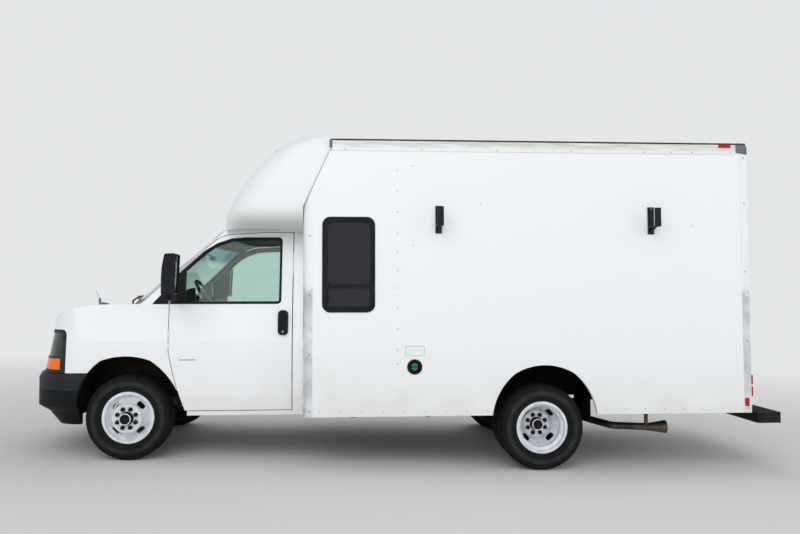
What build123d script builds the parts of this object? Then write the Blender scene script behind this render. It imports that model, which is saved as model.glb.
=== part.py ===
"""Cutaway van with a box body: a van cab on a ladder frame, and behind it an aluminium-framed box
with a moulded nose over the cab, swing doors at the back and twin rear wheels.

The body is modelled level: x runs rearwards from the front axle, y to the vehicle's right and z up,
with the front axle's centre at z = axle_z. At the end every piece is leaned by the rake at which the
empty vehicle sits on its springs, and moved to the origin, on the ground at the middle of the length.
All sizes are in millimetres and degrees.
"""
import os
from functools import cache
from math import cos, radians, sin, sqrt, tan

from build123d import *

# Stance
wheelbase = 3531
axle_z = 355
rake = 1.42
tyre_radius = 362
gap = 6                 # shut line round a door or lid
fit = 0.3               # clearance of a seated or turning piece

# Wheels
tyre_width = 225
rim_width = 178
rim_gauge = 7
wheel_offset = 127      # from the rim's middle to the face that bolts to the hub
hub_plate_radius = 112
hand_hole_count = 4
hand_hole_circle = 148
lug_count = 8
lug_circle = 165.1
lug_radius = 13
lug_height = 28
front_tyre_half = 876   # to the middle of the front tyre
twin_face_half = 967    # to the plane where the twin rims meet
seat_radius = 205
disc_radius = 150
disc_in, disc_out = 872, 894
drum_radius = 165
hub_radius = 62
hub_bore = 40.4
cap_radius = 49
spindle_radius = 28
spindle_end = 985
caliper_radius = 168
caliper_in, caliper_out = 852, 905
kingpin_half = 850
ball_reach = 104        # from the axle up and down to the ball joints
ball_radius = 15
arm_reach = 116
arm_gauge = 26

# Cab
cab_sides = (  # (height, half width) up the cab's side, from the sill to the roof's edge
    (372, 985),
    (530, 1003),
    (1000, 1005),
    (1320, 975),
    (1950, 862),
)
belt_row = 3
roof_edge_half = 770
roof_edge_z = 2012
roof_crown_z = 2035
cab_rear_x = 1492
cab_wall = 60
floor_top_z = 680
floor_gauge = 40
sill_inner_half = 900
wing_inner_half = 924
belt_z = 1321
firewall_x = 250
cowl_z = 1290
glass_gauge = 6
glass_inset = 3

# Cab door: its axis stands in the shut line at its front edge
door_front_x = 340
door_rear_x = 1388
door_low_z = 415
door_top_z = 1955
door_lap = 22           # thickness of the door's outer layer
door_step = 14          # how far the inner layer is drawn in
door_hinge_x = 339.5
door_hinge_half = 1004
door_hinge_radius = 8
door_pin_radius = 3
door_hinge_heights = (935, 1045)
door_hinge_height = 60
riser_top_z = 984
window_front_x = 356
window_rear_x = 1280
window_low_z = 1338
sail_rear_x = 468
window_seal = 14        # how far the seal lies over the door round the window, and over the glass
window_lip = 7
cover_gauge = 2
door_glass_inset = 14
door_glass_gauge = 5

# Windscreen: its foot at the middle, its slope there, and its sweep in plan, tighter low down
screen_foot_x = -180
screen_foot_z = 1323
screen_slope = 38.6
screen_low_sweep = 1800
screen_high_sweep = 3000
screen_low_z, screen_low_half = 1316, 942
screen_high_z, screen_high_half = 1935, 805
screen_corner = 45
screen_lap = 50         # how far the glass lies over the edge of its opening

# Nose
nose_front_x = -885
nose_half = 1005
nose_sweep_radius = 2767
nose_corner_radius = 380
nose_lean = 11
nose_rear_x = 500
skin = 30
lamp_panel = 60
lamp_depth = 44
lamp_recess = 5
lamp_low_z = 740
lamp_high_z = 1107
lamp_rear_x = -522
lamp_corner = 45
headlamp_rear_x = -558
headlamp_inner_half = 600
headlamp_low_z, headlamp_high_z = 877, 1078
amber_rear_x = -575
amber_inner_half = 720
amber_low_z, amber_high_z = 768, 860
grille_half = 540
grille_low_z, grille_high_z = 790, 1060
bonnet_front_half = 640
bonnet_rear_half = 760
bonnet_rear_x = -236
bonnet_hinge_x = -74
bonnet_hinge_z = 1322
cowl_top = 24           # below the bonnet's line
cowl_under = lamp_depth

# Bumpers
bumper_front_x = -939
bumper_rear_x = -300
bumper_half = 1006
bumper_levels = (       # (height, how far the outline is drawn in) from the top down
    (734, 24),
    (694, 0),
    (455, 0),
    (402, 95),
    (292, 190),
)
bumper_groove_z = 588
bumper_wall = 50
bumper_flange = 66
step_front_x = 5503
step_rear_x = 5715
step_half = 1060
step_top_z = 357
step_depth = 95
step_gauge = 6

# Box
box_half = 1219
box_front_x = 1494
box_rear_x = 5363
skirt_z = 380
wall = 40
deck_top_z = 840
deck_gauge = 40
bearer_depth = 80
cove_low_z = 2625
cove_high_z = 2725
cove_width = 62
cove_proud = 3
post_width = 84
post_radius = 70
rear_post_width = 62
header_low_z = 2607
sill_low_z = 690
seam_low = (1494, 2133)
seam_high = (1719, 2625)
cap_rear_x = 1737
cap_wall = 25
cap_low_z = 1962
cap_high_z = 2762
cap_low_half = 930
belly_slope = 0.25      # how fast the nose's lower edge climbs from the front to the seam
passage_half = 330
rear_door_half = 1136
rear_hinge_heights = (940, 1690, 2440)
hook_places = (2643, 4493)
hook_width = 54
hook_gauge = 10
hook_reach = 160
hook_low_z = 1922
hook_plate_height = 235
hook_lip_height = 214
step_arm_width = 60
passage_top_z = 1950

# Frame
frame_half = 433
frame_top_z = 640
frame_depth = 180
frame_flange = 80
frame_gauge = 8
rail_start = -854.5
rail_end_x = 5300
crossmember_places = (-700, 960, 1500, 2440, 3080, 4170, 5200)
spring_half = 530
spring_width = 63
leaf_gauge = 12
leaf_radius = 3200
leaf_lengths = ((700, 760), (640, 690), (470, 510), (300, 330), (170, 180))
tank_top_z = 560
hose_radius = 18

# What follows from the sizes above
rear_axle_x = wheelbase * cos(radians(rake))
rear_axle_z = axle_z - wheelbase * sin(radians(rake))
side = Plane.XZ

pieces = {}


@cache
def block(x0, x1, y0, y1, z0, z1):
    """A plain block between two corners."""
    with BuildPart() as solid:
        with BuildSketch(Plane.XY.offset(z0)):
            with Locations(((x0 + x1) / 2, (y0 + y1) / 2)):
                Rectangle(abs(x1 - x0), abs(y1 - y0))
        extrude(amount=z1 - z0)
    return solid.part


def side_prism(points, y0, y1, radius=0, spread=0):
    """An outline in the side view carried from y0 to y1, with rounded corners and a spread edge."""
    with BuildPart() as solid:
        with BuildSketch(side.offset(-y0)) as outline:
            with BuildLine():
                Polyline(*points, close=True)
            make_face()
            if radius:
                fillet(outline.vertices(), radius)
            if spread:
                offset(amount=spread)
        extrude(amount=y0 - y1)
    return solid.part


def rod(radius, x, z, y0, y1):
    """A round bar across the vehicle."""
    with BuildPart() as solid:
        with BuildSketch(side.offset(-y0)):
            with Locations((x, z)):
                Circle(radius)
        extrude(amount=y0 - y1)
    return solid.part


def upright(radius, x, y, z0, z1):
    """A round bar standing up."""
    with BuildPart() as solid:
        with BuildSketch(Plane.XY.offset(z0)):
            with Locations((x, y)):
                Circle(radius)
        extrude(amount=z1 - z0)
    return solid.part


def swept_plan(front, half, rear, sweep_radius):
    """A plan outline with a swept front and straight sides."""
    sag = sweep_radius - sqrt(sweep_radius**2 - half**2)
    with BuildSketch() as plan:
        with BuildLine():
            ThreePointArc((front + sag, -half), (front, 0), (front + sag, half))
            Polyline((front + sag, half), (rear, half), (rear, -half), (front + sag, -half))
        make_face()
    return plan.sketch


@cache
def cab_solid(inset):
    """The cab's outer form, its skin moved inwards by inset and left open behind."""
    slope = radians(screen_slope)
    shelf_z = cowl_z + inset * 2 / 3
    rise = roof_crown_z - shelf_z + 200
    front = screen_foot_x + inset / sin(slope) + (shelf_z - screen_foot_z) / tan(slope)
    right = [(half, z) for z, half in cab_sides]
    right[0] = (right[0][0], right[0][1] - 2 * inset)
    left = [(-y, z) for y, z in right]
    bulge = (roof_edge_half + 68, roof_edge_z - 18)
    rear = cab_rear_x + (60 if inset > 0 else 0)
    with BuildPart() as solid:
        with BuildSketch(Plane.YZ.offset(front)):
            with BuildLine():
                Polyline(*left)
                ThreePointArc(left[-1], (-bulge[0], bulge[1]), (-roof_edge_half, roof_edge_z))
                ThreePointArc(
                    (-roof_edge_half, roof_edge_z), (0, roof_crown_z), (roof_edge_half, roof_edge_z)
                )
                ThreePointArc((roof_edge_half, roof_edge_z), bulge, right[-1])
                Polyline(*right[::-1])
                Line(right[0], left[0])
            make_face()
            if inset:
                offset(amount=-inset)
        extrude(amount=rear - front)
        with BuildPart(mode=Mode.PRIVATE) as behind:
            for up, sweep_radius in ((0, screen_low_sweep), (rise, screen_high_sweep)):
                with BuildSketch(Plane.XY.offset(shelf_z + up)):
                    add(swept_plan(front + up / tan(slope), box_half, rear + 200, sweep_radius))
            loft()
            add(block(firewall_x + inset / 2, rear + 200, -box_half, box_half, 0, shelf_z))
        add(behind.part, mode=Mode.INTERSECT)
    return solid.part


def nose_outline(front, half, rear, corner_radius):
    """The nose in plan: a swept front between two long rounded corners."""
    with BuildSketch() as plan:
        add(swept_plan(front, half, rear, nose_sweep_radius))
        fillet(plan.vertices().group_by(Axis.X)[0], corner_radius)
    return plan.sketch


@cache
def nose_solid(inset):
    """Bonnet, wings and front panel as one form, its skin moved inwards by inset, open behind."""
    rear = nose_rear_x + 2 * inset
    low_z = cab_sides[0][0] - 2 * inset
    high_z = 1400
    lean = tan(radians(nose_lean))
    right = [(half, z) for z, half in cab_sides[: belt_row + 1]]
    right[0] = (right[0][0], low_z)
    left = [(-y, z) for y, z in right]
    with BuildPart() as solid:
        for z in (low_z, high_z):
            with BuildSketch(Plane.XY.offset(z)):
                front = nose_front_x + (z - lamp_low_z) * lean
                add(nose_outline(front, nose_half, rear, nose_corner_radius))
                if inset:
                    offset(amount=-inset)
        loft()
        with BuildSketch(side):
            with BuildLine():
                Line((-960, low_z), (-860, 1020))
                ThreePointArc((-860, 1020), (-795, 1148), (-700, 1210))
                ThreePointArc((-700, 1210), (-470, 1290), (-200, 1322))
                Polyline((-200, 1322), (rear, 1332), (rear, low_z), (-960, low_z))
            make_face()
            if inset:
                offset(amount=-inset)
        extrude(amount=nose_half + 100, both=True, mode=Mode.INTERSECT)
        with BuildSketch(Plane.YZ.offset(-1000)):
            with BuildLine():
                Polyline(*left, (-right[-1][0], high_z + 60), (right[-1][0], high_z + 60), *right[::-1])
                Line(right[0], left[0])
            make_face()
            if inset:
                offset(amount=-inset)
        extrude(amount=1000 + rear, mode=Mode.INTERSECT)
    return solid.part


@cache
def arch_prism(spread, y0, y1):
    """The front wheel's arch, open below, carried from y0 to y1."""
    with BuildPart() as solid:
        with BuildSketch(side.offset(-y0)):
            with BuildLine():
                Line((-404, 200), (-404, 380))
                ThreePointArc((-404, 380), (-352, 715), (-230, 842))
                ThreePointArc((-230, 842), (-20, 880), (187, 844))
                ThreePointArc((187, 844), (392, 630), (481, 373))
                Polyline((481, 373), (481, 200), (-404, 200))
            make_face()
            if spread:
                offset(amount=spread)
        extrude(amount=y0 - y1)
    return solid.part


@cache
def door_prism(spread):
    """The left cab door's outline, carried through the cab's side."""
    with BuildPart() as solid:
        with BuildSketch(side.offset(700)) as outline:
            with BuildLine():
                Line((door_front_x, 930), (door_front_x, 1539))
                Line((door_front_x, 1539), (704, 1880))
                ThreePointArc((704, 1880), (790, 1923), (900, 1938))
                Polyline(
                    (900, 1938),
                    (1150, door_top_z),
                    (door_rear_x, door_top_z),
                    (door_rear_x, door_low_z),
                    (482, door_low_z),
                )
                ThreePointArc((482, door_low_z), (395, 680), (door_front_x, 930))
            make_face()
            if spread:
                offset(amount=spread, kind=Kind.INTERSECTION)
        extrude(amount=500)
    return solid.part


def bonnet_prism(spread):
    """The bonnet's outline in plan, carried upwards from the lamps' top."""
    rear = bonnet_rear_x + screen_low_sweep - sqrt(screen_low_sweep**2 - bonnet_rear_half**2)
    with BuildPart() as solid:
        with BuildSketch(Plane.XY.offset(lamp_high_z + 4 - spread)):
            with BuildLine():
                ThreePointArc(
                    (rear, -bonnet_rear_half), (bonnet_rear_x, 0), (rear, bonnet_rear_half)
                )
                Polyline(
                    (rear, bonnet_rear_half),
                    (-1000, bonnet_front_half),
                    (-1000, -bonnet_front_half),
                    (rear, -bonnet_rear_half),
                )
            make_face()
            if spread:
                offset(amount=spread)
        extrude(amount=400)
    return solid.part


def screen_prism(spread):
    """The windscreen's outline in the front view, carried back through the screen."""
    low_half, low_z = screen_low_half + spread, screen_low_z - spread
    high_half, high_z = screen_high_half + spread, screen_high_z + spread
    with BuildPart() as solid:
        with BuildSketch(Plane.YZ.offset(2 * screen_foot_x)) as outline:
            with BuildLine():
                Polyline(
                    (-low_half, low_z),
                    (-high_half, high_z),
                    (high_half, high_z),
                    (low_half, low_z),
                    close=True,
                )
            make_face()
            fillet(outline.vertices(), screen_corner)
        extrude(amount=900 - 2 * screen_foot_x)
    return solid.part


def lamp_prism(spread):
    """The outline of the lamps' panel in the side view, carried right across the nose."""
    with BuildPart() as solid:
        with BuildSketch(side) as outline:
            with BuildLine():
                Polyline(
                    (-1000, lamp_low_z),
                    (-1000, lamp_high_z),
                    (lamp_rear_x, lamp_high_z),
                    (lamp_rear_x, lamp_low_z),
                    close=True,
                )
            make_face()
            fillet(outline.vertices().sort_by(lambda corner: corner.X + corner.Y)[-1], lamp_corner)
            if spread:
                offset(amount=spread)
        extrude(amount=nose_half + 100, both=True)
    return solid.part


# Forms that several pieces are cut from
cab_outer = cab_solid(0)
cab_inner = cab_solid(cab_wall)
cab_clear = cab_solid(-cover_gauge - fit)
nose_outer = nose_solid(0)
nose_inner = nose_solid(skin)
nose_skin = nose_outer - nose_inner
door_rear_gap = block(door_rear_x, door_rear_x + gap + 2, -1200, -700, door_low_z - gap, door_top_z + gap)

# Cab shell: roof, pillars, sills, floor and firewall in one, with the seats' risers
with BuildPart() as cab_shell:
    add(cab_outer)
    above_floor = cab_inner & block(-400, 1700, -box_half, box_half, floor_top_z, 2200)
    add(above_floor, mode=Mode.SUBTRACT)
    add(
        block(0, 1700, -sill_inner_half, sill_inner_half, 0, floor_top_z - floor_gauge),
        mode=Mode.SUBTRACT,
    )
    door_cut = (door_prism(gap) + door_rear_gap) - cab_solid(cab_wall + gap)
    add(door_cut, mode=Mode.SUBTRACT)
    mirror(door_cut, about=side, mode=Mode.SUBTRACT)
    wing_band = nose_outer - nose_solid(lamp_depth)
    wing_band = wing_band & block(-400, nose_rear_x, -1100, -wing_inner_half, 0, belt_z)
    add(wing_band, mode=Mode.SUBTRACT)
    mirror(wing_band, about=side, mode=Mode.SUBTRACT)
    add(arch_prism(16, -1100, -540), mode=Mode.SUBTRACT)
    add(arch_prism(16, 540, 1100), mode=Mode.SUBTRACT)
    add(screen_prism(-screen_lap), mode=Mode.SUBTRACT)
    rebate = (cab_outer - cab_solid(glass_inset + glass_gauge + fit)) & screen_prism(fit)
    add(rebate, mode=Mode.SUBTRACT)
    for y in (-460, 460):
        add(block(790, 1190, y - 190, y + 190, floor_top_z, riser_top_z))
pieces["cab_shell"] = cab_shell

with BuildPart() as windscreen:
    add(cab_solid(glass_inset) - cab_solid(glass_inset + glass_gauge))
    add(screen_prism(0), mode=Mode.INTERSECT)
pieces["windscreen"] = windscreen

# Nose: wings, bonnet, cowl, lamp panel with its grille, and lamps
with BuildPart() as front_wings:
    add(nose_skin & block(-1100, 600, -1100, 0, 0, 1500))
    add(block(bonnet_rear_x, 600, -bonnet_rear_half - gap, 1, lamp_high_z + 2, 1500), mode=Mode.SUBTRACT)
    add(bonnet_prism(gap), mode=Mode.SUBTRACT)
    add(lamp_prism(fit), mode=Mode.SUBTRACT)
    add(block(-1100, 0, -1100, 1100, 0, lamp_low_z), mode=Mode.SUBTRACT)
    add(arch_prism(0, -1100, 1100), mode=Mode.SUBTRACT)
    add(door_prism(gap), mode=Mode.SUBTRACT)
    add(cab_clear & block(-400, 1700, -wing_inner_half - 1, 1, 0, 2200), mode=Mode.SUBTRACT)
    add(cab_clear & block(-400, 1700, -1100, 1, belt_z, 2200), mode=Mode.SUBTRACT)

with BuildPart() as bonnet:
    add(nose_skin)
    add(bonnet_prism(0), mode=Mode.INTERSECT)
pieces["bonnet"] = bonnet

with BuildPart() as cowl:
    add(nose_solid(cowl_top) - nose_solid(cowl_under))
    half = bonnet_rear_half + gap - fit
    add(block(bonnet_rear_x, 250, -half, half, 1200, 1400), mode=Mode.INTERSECT)
    add(bonnet_prism(gap), mode=Mode.SUBTRACT)
    add(cab_clear, mode=Mode.SUBTRACT)
pieces["cowl"] = cowl


def lamp_bay(inner_half, rear_x, low_z, high_z, clear=0):
    """The left lamp's room in the panel, drawn in by a clearance."""
    return block(-1000, rear_x - clear, -nose_half - 100, -inner_half - clear, low_z + clear, high_z - clear)


headlamp_bay = (headlamp_inner_half, headlamp_rear_x, headlamp_low_z, headlamp_high_z)
amber_bay = (amber_inner_half, amber_rear_x, amber_low_z, amber_high_z)
with BuildPart() as grille:
    add(nose_outer - nose_solid(lamp_panel))
    add(lamp_prism(0), mode=Mode.INTERSECT)
    add(block(-1000, -600, -grille_half, grille_half, grille_low_z, grille_high_z), mode=Mode.SUBTRACT)
    for bay in (lamp_bay(*headlamp_bay), lamp_bay(*amber_bay)):
        add(bay, mode=Mode.SUBTRACT)
        mirror(bay, about=side, mode=Mode.SUBTRACT)
    with BuildPart(mode=Mode.PRIVATE) as grid:
        for z in range(830, 1060, 45):
            add(block(-1000, -600, -grille_half - 1, grille_half + 1, z - 7, z + 7))
        for y in (-360, -180, 0, 180, 360):
            add(block(-1000, -600, y - 6, y + 6, grille_low_z - 1, grille_high_z + 1))
    add(grid.part & (nose_solid(lamp_recess) - nose_solid(lamp_depth)))
pieces["grille"] = grille

with BuildPart() as headlamps:
    add(nose_solid(lamp_recess) - nose_solid(lamp_depth))
    add(lamp_bay(*headlamp_bay, clear=fit), mode=Mode.INTERSECT)
    mirror(about=side)
pieces["headlamps"] = headlamps

with BuildPart() as turn_lamps:
    add(nose_outer - nose_solid(skin))
    add(lamp_bay(*amber_bay, clear=fit), mode=Mode.INTERSECT)
    mirror(about=side)
pieces["turn_lamps"] = turn_lamps

with BuildPart() as wheel_liners:
    add(arch_prism(14, -950, -560) - arch_prism(6, -1000, -500))
    add(block(-600, 600, -1000, 0, 382, 1000), mode=Mode.INTERSECT)
    add(door_prism(gap + 2), mode=Mode.SUBTRACT)
    mirror(about=side)
pieces["wheel_liners"] = wheel_liners

# Front bumper: a moulded shell with a chamfered top, a groove round it and a lower part that tucks in
bumper_top_z = bumper_levels[0][0]


def bumper_outline(tuck, wall=0):
    """The bumper in plan, drawn in by tuck, or its hollow inside a wall."""
    half = bumper_half - wall - tuck * 0.6
    rear = bumper_rear_x + 2 * wall
    return nose_outline(bumper_front_x + tuck + wall, half, rear, nose_corner_radius + 40 - tuck - wall)


with BuildPart() as front_bumper:
    for upper, lower in zip(bumper_levels, bumper_levels[1:]):
        for z, tuck in (upper, lower):
            with BuildSketch(Plane.XY.offset(z)):
                add(bumper_outline(tuck))
        loft()
    for (high_z, high_tuck), (low_z, low_tuck) in zip(bumper_levels, bumper_levels[1:]):
        inner_wall = bumper_flange if high_z == bumper_top_z else bumper_wall
        with BuildSketch(Plane.XY.offset(low_z - 1)):
            add(bumper_outline(max(high_tuck, low_tuck), inner_wall))
        extrude(amount=high_z - low_z + 2, mode=Mode.SUBTRACT)
    with BuildSketch(Plane.XY.offset(bumper_groove_z)):
        add(bumper_outline(-1))
        add(bumper_outline(6), mode=Mode.SUBTRACT)
    extrude(amount=8, mode=Mode.SUBTRACT)
    add(arch_prism(0, -1100, 1100), mode=Mode.SUBTRACT)
    add(arch_prism(15, -951, 951), mode=Mode.SUBTRACT)
pieces["front_bumper"] = front_bumper


# Bonnet hinge: a knuckle at each rear corner of the bonnet, on a pin that the wing holds
for way in (-1, 1):
    y0, y1 = sorted((way * (bonnet_rear_half - 3), way * (bonnet_rear_half - 25)))
    bonnet.part += rod(8, bonnet_hinge_x, bonnet_hinge_z, y0, y1)
    y0, y1 = sorted((way * (bonnet_rear_half + 40), way * (bonnet_rear_half - 22)))
    bonnet.part -= rod(3 + fit, bonnet_hinge_x, bonnet_hinge_z, y0 - 1, y1 + 1)
    cowl.part -= rod(11, bonnet_hinge_x, bonnet_hinge_z, y0, y1)
front_wings.part += rod(3, bonnet_hinge_x, bonnet_hinge_z, -bonnet_rear_half - 40, -bonnet_rear_half + 22)


# Cab doors: the cab's wall inside the door's outline, with the window's opening and hinge knuckles
window_points = [
    (window_front_x, window_low_z),
    (window_front_x, 1527),
    (622, 1777),
    (733, 1848),
    (850, 1888),
    (970, 1899),
    (window_rear_x, 1900),
    (window_rear_x, window_low_z),
]


def window_prism(spread):
    """The outline of the left door's window, carried through the door."""
    return side_prism(window_points, -1200, -700, radius=24, spread=spread)


window_hole = window_prism(0)
third = door_hinge_height / 3
with BuildPart() as door_left:
    add((cab_outer - cab_solid(door_lap)) & door_prism(0))
    add((cab_solid(door_lap) - cab_inner) & door_prism(-door_step))
    add(window_hole, mode=Mode.SUBTRACT)
    for low_z in door_hinge_heights:
        for k in (0, 2):
            add(upright(door_hinge_radius + 1.5, door_hinge_x, -door_hinge_half,
                        low_z + k * third - 1, low_z + (k + 1) * third + 1), mode=Mode.SUBTRACT)
        add(upright(door_hinge_radius, door_hinge_x, -door_hinge_half,
                    low_z + third + 0.5, low_z + 2 * third - 0.5))
        add(upright(door_pin_radius + fit, door_hinge_x, -door_hinge_half, low_z, low_z + 3 * third),
            mode=Mode.SUBTRACT)
with BuildPart() as wing_knuckles:
    for low_z in door_hinge_heights:
        add(upright(door_pin_radius, door_hinge_x, -door_hinge_half, low_z, low_z + 3 * third))
        for k in (0, 2):
            z0, z1 = low_z + k * third, low_z + (k + 1) * third
            add(upright(door_hinge_radius, door_hinge_x, -door_hinge_half, z0, z1))
            add(block(326, door_hinge_x, -1003, -999, z0, z1))
with BuildPart() as knuckle_rooms:
    for low_z in door_hinge_heights:
        add(upright(door_hinge_radius + 1.5, door_hinge_x, -door_hinge_half,
                    low_z + third - 0.5, low_z + 2 * third + 0.5))
left_wing = (front_wings.part - knuckle_rooms.part + wing_knuckles.part).solids().sort_by(SortBy.VOLUME)[-1]
with BuildPart() as front_wings:
    add(left_wing)
    mirror(about=side)
pieces["front_wings"] = front_wings

with BuildPart() as door_glass_left:
    add(cab_solid(door_glass_inset) - cab_solid(door_glass_inset + door_glass_gauge))
    add(window_hole, mode=Mode.INTERSECT)
    add(block(sail_rear_x + 1, 1600, -1200, 0, 0, 2200), mode=Mode.INTERSECT)

# Door fittings: mirror on its neck, sail cover, the seal round the window and the outer handle
mirror_x0, mirror_x1 = 366, 490
mirror_y0, mirror_y1 = -1420, -1245
mirror_outline = [(373, 1402), (368, 1506), (378, 1622), (402, 1733), (488, 1737), (475, 1402)]
mirror_glass = [(462, 1420), (475, 1719), (600, 1719), (600, 1420)]
neck_x0, neck_x1 = 392, 440
neck_z0, neck_z1 = 1352, 1380
handle_points = [(1268, 1056), (1268, 1270), (1355, 1270), (1355, 1056)]
sail_points = [
    (door_front_x + 3, window_low_z - window_seal),
    (door_front_x + 3, 1497),
    (sail_rear_x, 1634),
    (sail_rear_x, window_low_z - window_seal),
]
with BuildPart() as door_fittings_left:
    with BuildSketch(Plane.XY.offset(mirror_outline[0][1])) as head:
        with Locations(((mirror_x0 + mirror_x1) / 2, (mirror_y0 + mirror_y1) / 2)):
            Rectangle(mirror_x1 - mirror_x0, mirror_y1 - mirror_y0)
        fillet(head.vertices().group_by(Axis.X)[0], 45)
    extrude(amount=400)
    add(side_prism(mirror_outline, mirror_y0 - 1, mirror_y1 + 1, radius=14), mode=Mode.INTERSECT)
    add(side_prism(mirror_glass, mirror_y0 + 9, mirror_y1 - 9, radius=10), mode=Mode.SUBTRACT)
    sail = (cab_solid(2) - cab_solid(30)) & window_hole
    add(sail & block(300, sail_rear_x, -1200, 0, 0, 2200))
    cover = cab_solid(-cover_gauge) - cab_outer
    add(cover & side_prism(sail_points, -1200, -800))
    add(cover & (window_prism(window_seal) - window_prism(-window_lip)))
    add(block(neck_x0, neck_x1, -1330, -948, neck_z0, neck_z1))
    add(block(neck_x0, neck_x1, -1330, -1290, neck_z0, mirror_outline[0][1] + 2))
    grip = (cab_solid(-18) - cab_outer) & side_prism(handle_points, -1200, -900, radius=34)
    add(grip)

# Covers at the feet of the windscreen pillars
pillar_cover_points = [(191, belt_z + 3), (331, belt_z + 3), (331, 1482)]
with BuildPart() as pillar_covers:
    add(cover & side_prism(pillar_cover_points, -1200, -800))
    mirror(about=side)
pieces["pillar_covers"] = pillar_covers

for name, left in (
    ("door", door_left),
    ("door_glass", door_glass_left),
    ("door_fittings", door_fittings_left),
):
    with BuildPart() as right:
        mirror(left.part, about=side)
    pieces[f"{name}_left"] = left
    pieces[f"{name}_right"] = right

# Dashboard with the engine's cover and the steering column, the steering wheel and the seats
column_lean = 35
column_gap = 24
wheel_centre = (560, -430, 1385)
wheel_plane = Plane(
    origin=wheel_centre,
    x_dir=(0, 1, 0),
    z_dir=(cos(radians(column_lean)), 0, sin(radians(column_lean))),
)
dash_points = [
    (282, 1060), (282, 1331), (205, 1331), (205, 1345), (300, 1362), (470, 1372),
    (545, 1335), (580, 1240), (560, 1120), (470, 1060),
]
with BuildPart() as dashboard:
    add(side_prism(dash_points, -868, 868))
    add(side_prism([(370, 1360), (385, 1450), (455, 1470), (490, 1360)], -600, -250))
    engine_cover = [
        (366, floor_top_z + fit), (282, 900), (282, 1062), (600, 1062), (660, 1000), (680, floor_top_z + fit)
    ]
    add(side_prism(engine_cover, -262, 262))
    with BuildSketch(wheel_plane.offset(-column_gap)):
        Circle(26)
    extrude(amount=-110)
pieces["dashboard"] = dashboard

with BuildPart() as steering_wheel:
    with Locations(wheel_plane):
        Torus(185, 14)
    with BuildSketch(wheel_plane.offset(-column_gap + fit)):
        Circle(30)
    extrude(amount=column_gap - 10)
    with BuildSketch(wheel_plane.offset(-20)):
        Circle(62)
        for turn in (0, 180, 270):
            with Locations(Location((0, 0, 0), (0, 0, turn))):
                with Locations((92, 0)):
                    Rectangle(184, 34)
    extrude(amount=18)
pieces["steering_wheel"] = steering_wheel

seat_half = 245
seat_middle = 460
seat_top_z = 1092
with BuildPart() as seats:
    for middle in (-seat_middle, seat_middle):
        low, high = middle - seat_half, middle + seat_half
        cushion = [
            (715, riser_top_z + fit),
            (715, 1085),
            (780, 1105),
            (1190, seat_top_z),
            (1305, seat_top_z),
            (1305, riser_top_z + fit),
        ]
        add(side_prism(cushion, low, high, radius=22))
        back = [(1205, seat_top_z + fit), (1215, 1130), (1345, 1640), (1430, 1625), (1295, seat_top_z + fit)]
        add(side_prism(back, low + 8, high - 8, radius=22))
        rest = [(1350, 1600), (1378, 1830), (1450, 1825), (1425, 1600)]
        add(side_prism(rest, middle - 130, middle + 130, radius=22))
pieces["seats"] = seats

# Box: floor on runners and bearers, walls, roof, front wall with the passage to the cab
seam_slope = (seam_high[1] - seam_low[1]) / (seam_high[0] - seam_low[0])
post_rear_x = box_front_x + post_width
rail_start_x = cap_rear_x
rear_frame_x = box_rear_x - rear_post_width
inner_half = box_half - wall


def seam_z(x):
    """Height of the moulded nose's rear seam at x."""
    return seam_low[1] + (x - seam_low[0]) * seam_slope


wheel_box_inner = 700
wheel_box_gauge = 4
wheel_box_points = [
    (3085, 400), (3085, 590), (3250, deck_top_z - deck_gauge - fit), (3870, deck_top_z - deck_gauge - fit),
    (4014, 590), (4014, 500), (3955, 500), (3955, 400),
]
flap_low_z = 300
bearer_low_z = deck_top_z - deck_gauge - bearer_depth
with BuildPart() as box_floor:
    add(block(box_front_x + wall, rear_frame_x, -inner_half, inner_half, deck_top_z - deck_gauge, deck_top_z))
    for y in (-frame_half, frame_half - frame_flange):
        add(block(box_front_x + wall, rear_frame_x, y, y + frame_flange, frame_top_z, bearer_low_z))
pieces["box_floor"] = box_floor

with BuildPart() as floor_bearers:
    bearer_count = 11
    pitch = (rear_frame_x - box_front_x - wall - 120) / (bearer_count - 1)
    for k in range(bearer_count):
        x = box_front_x + wall + 30 + k * pitch
        add(block(x, x + 60, -inner_half, inner_half, bearer_low_z, deck_top_z - deck_gauge))
    for y0, y1 in ((-inner_half - 1, -wheel_box_inner + 1), (wheel_box_inner - 1, inner_half + 1)):
        notch = side_prism(wheel_box_points, y0, y1, spread=fit)
        add(notch & block(3000, 4100, y0, y1, bearer_low_z - 1, deck_top_z - deck_gauge), mode=Mode.SUBTRACT)
pieces["floor_bearers"] = floor_bearers

# Wheel boxes: folded steel over the rear wheels, open below and outwards, with a flap behind
with BuildPart() as wheel_boxes:
    inner_face = -wheel_box_inner - wheel_box_gauge
    low_z = wheel_box_points[0][1]
    flap_x = wheel_box_points[-1][0]
    add(side_prism(wheel_box_points, -inner_half, -wheel_box_inner))
    add(
        side_prism(wheel_box_points, -inner_half - 1, inner_face, spread=-wheel_box_gauge),
        mode=Mode.SUBTRACT,
    )
    for y0, high_z in ((-inner_half - 1, low_z + 2 * wheel_box_gauge), (inner_face - 1, low_z + 80)):
        add(block(3000, 4100, y0, -wheel_box_inner + 1, low_z - 1, high_z), mode=Mode.SUBTRACT)
    add(block(flap_x - wheel_box_gauge, flap_x, -inner_half, inner_face, flap_low_z, low_z + 104))
    mirror(about=side)
pieces["wheel_boxes"] = wheel_boxes

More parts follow.
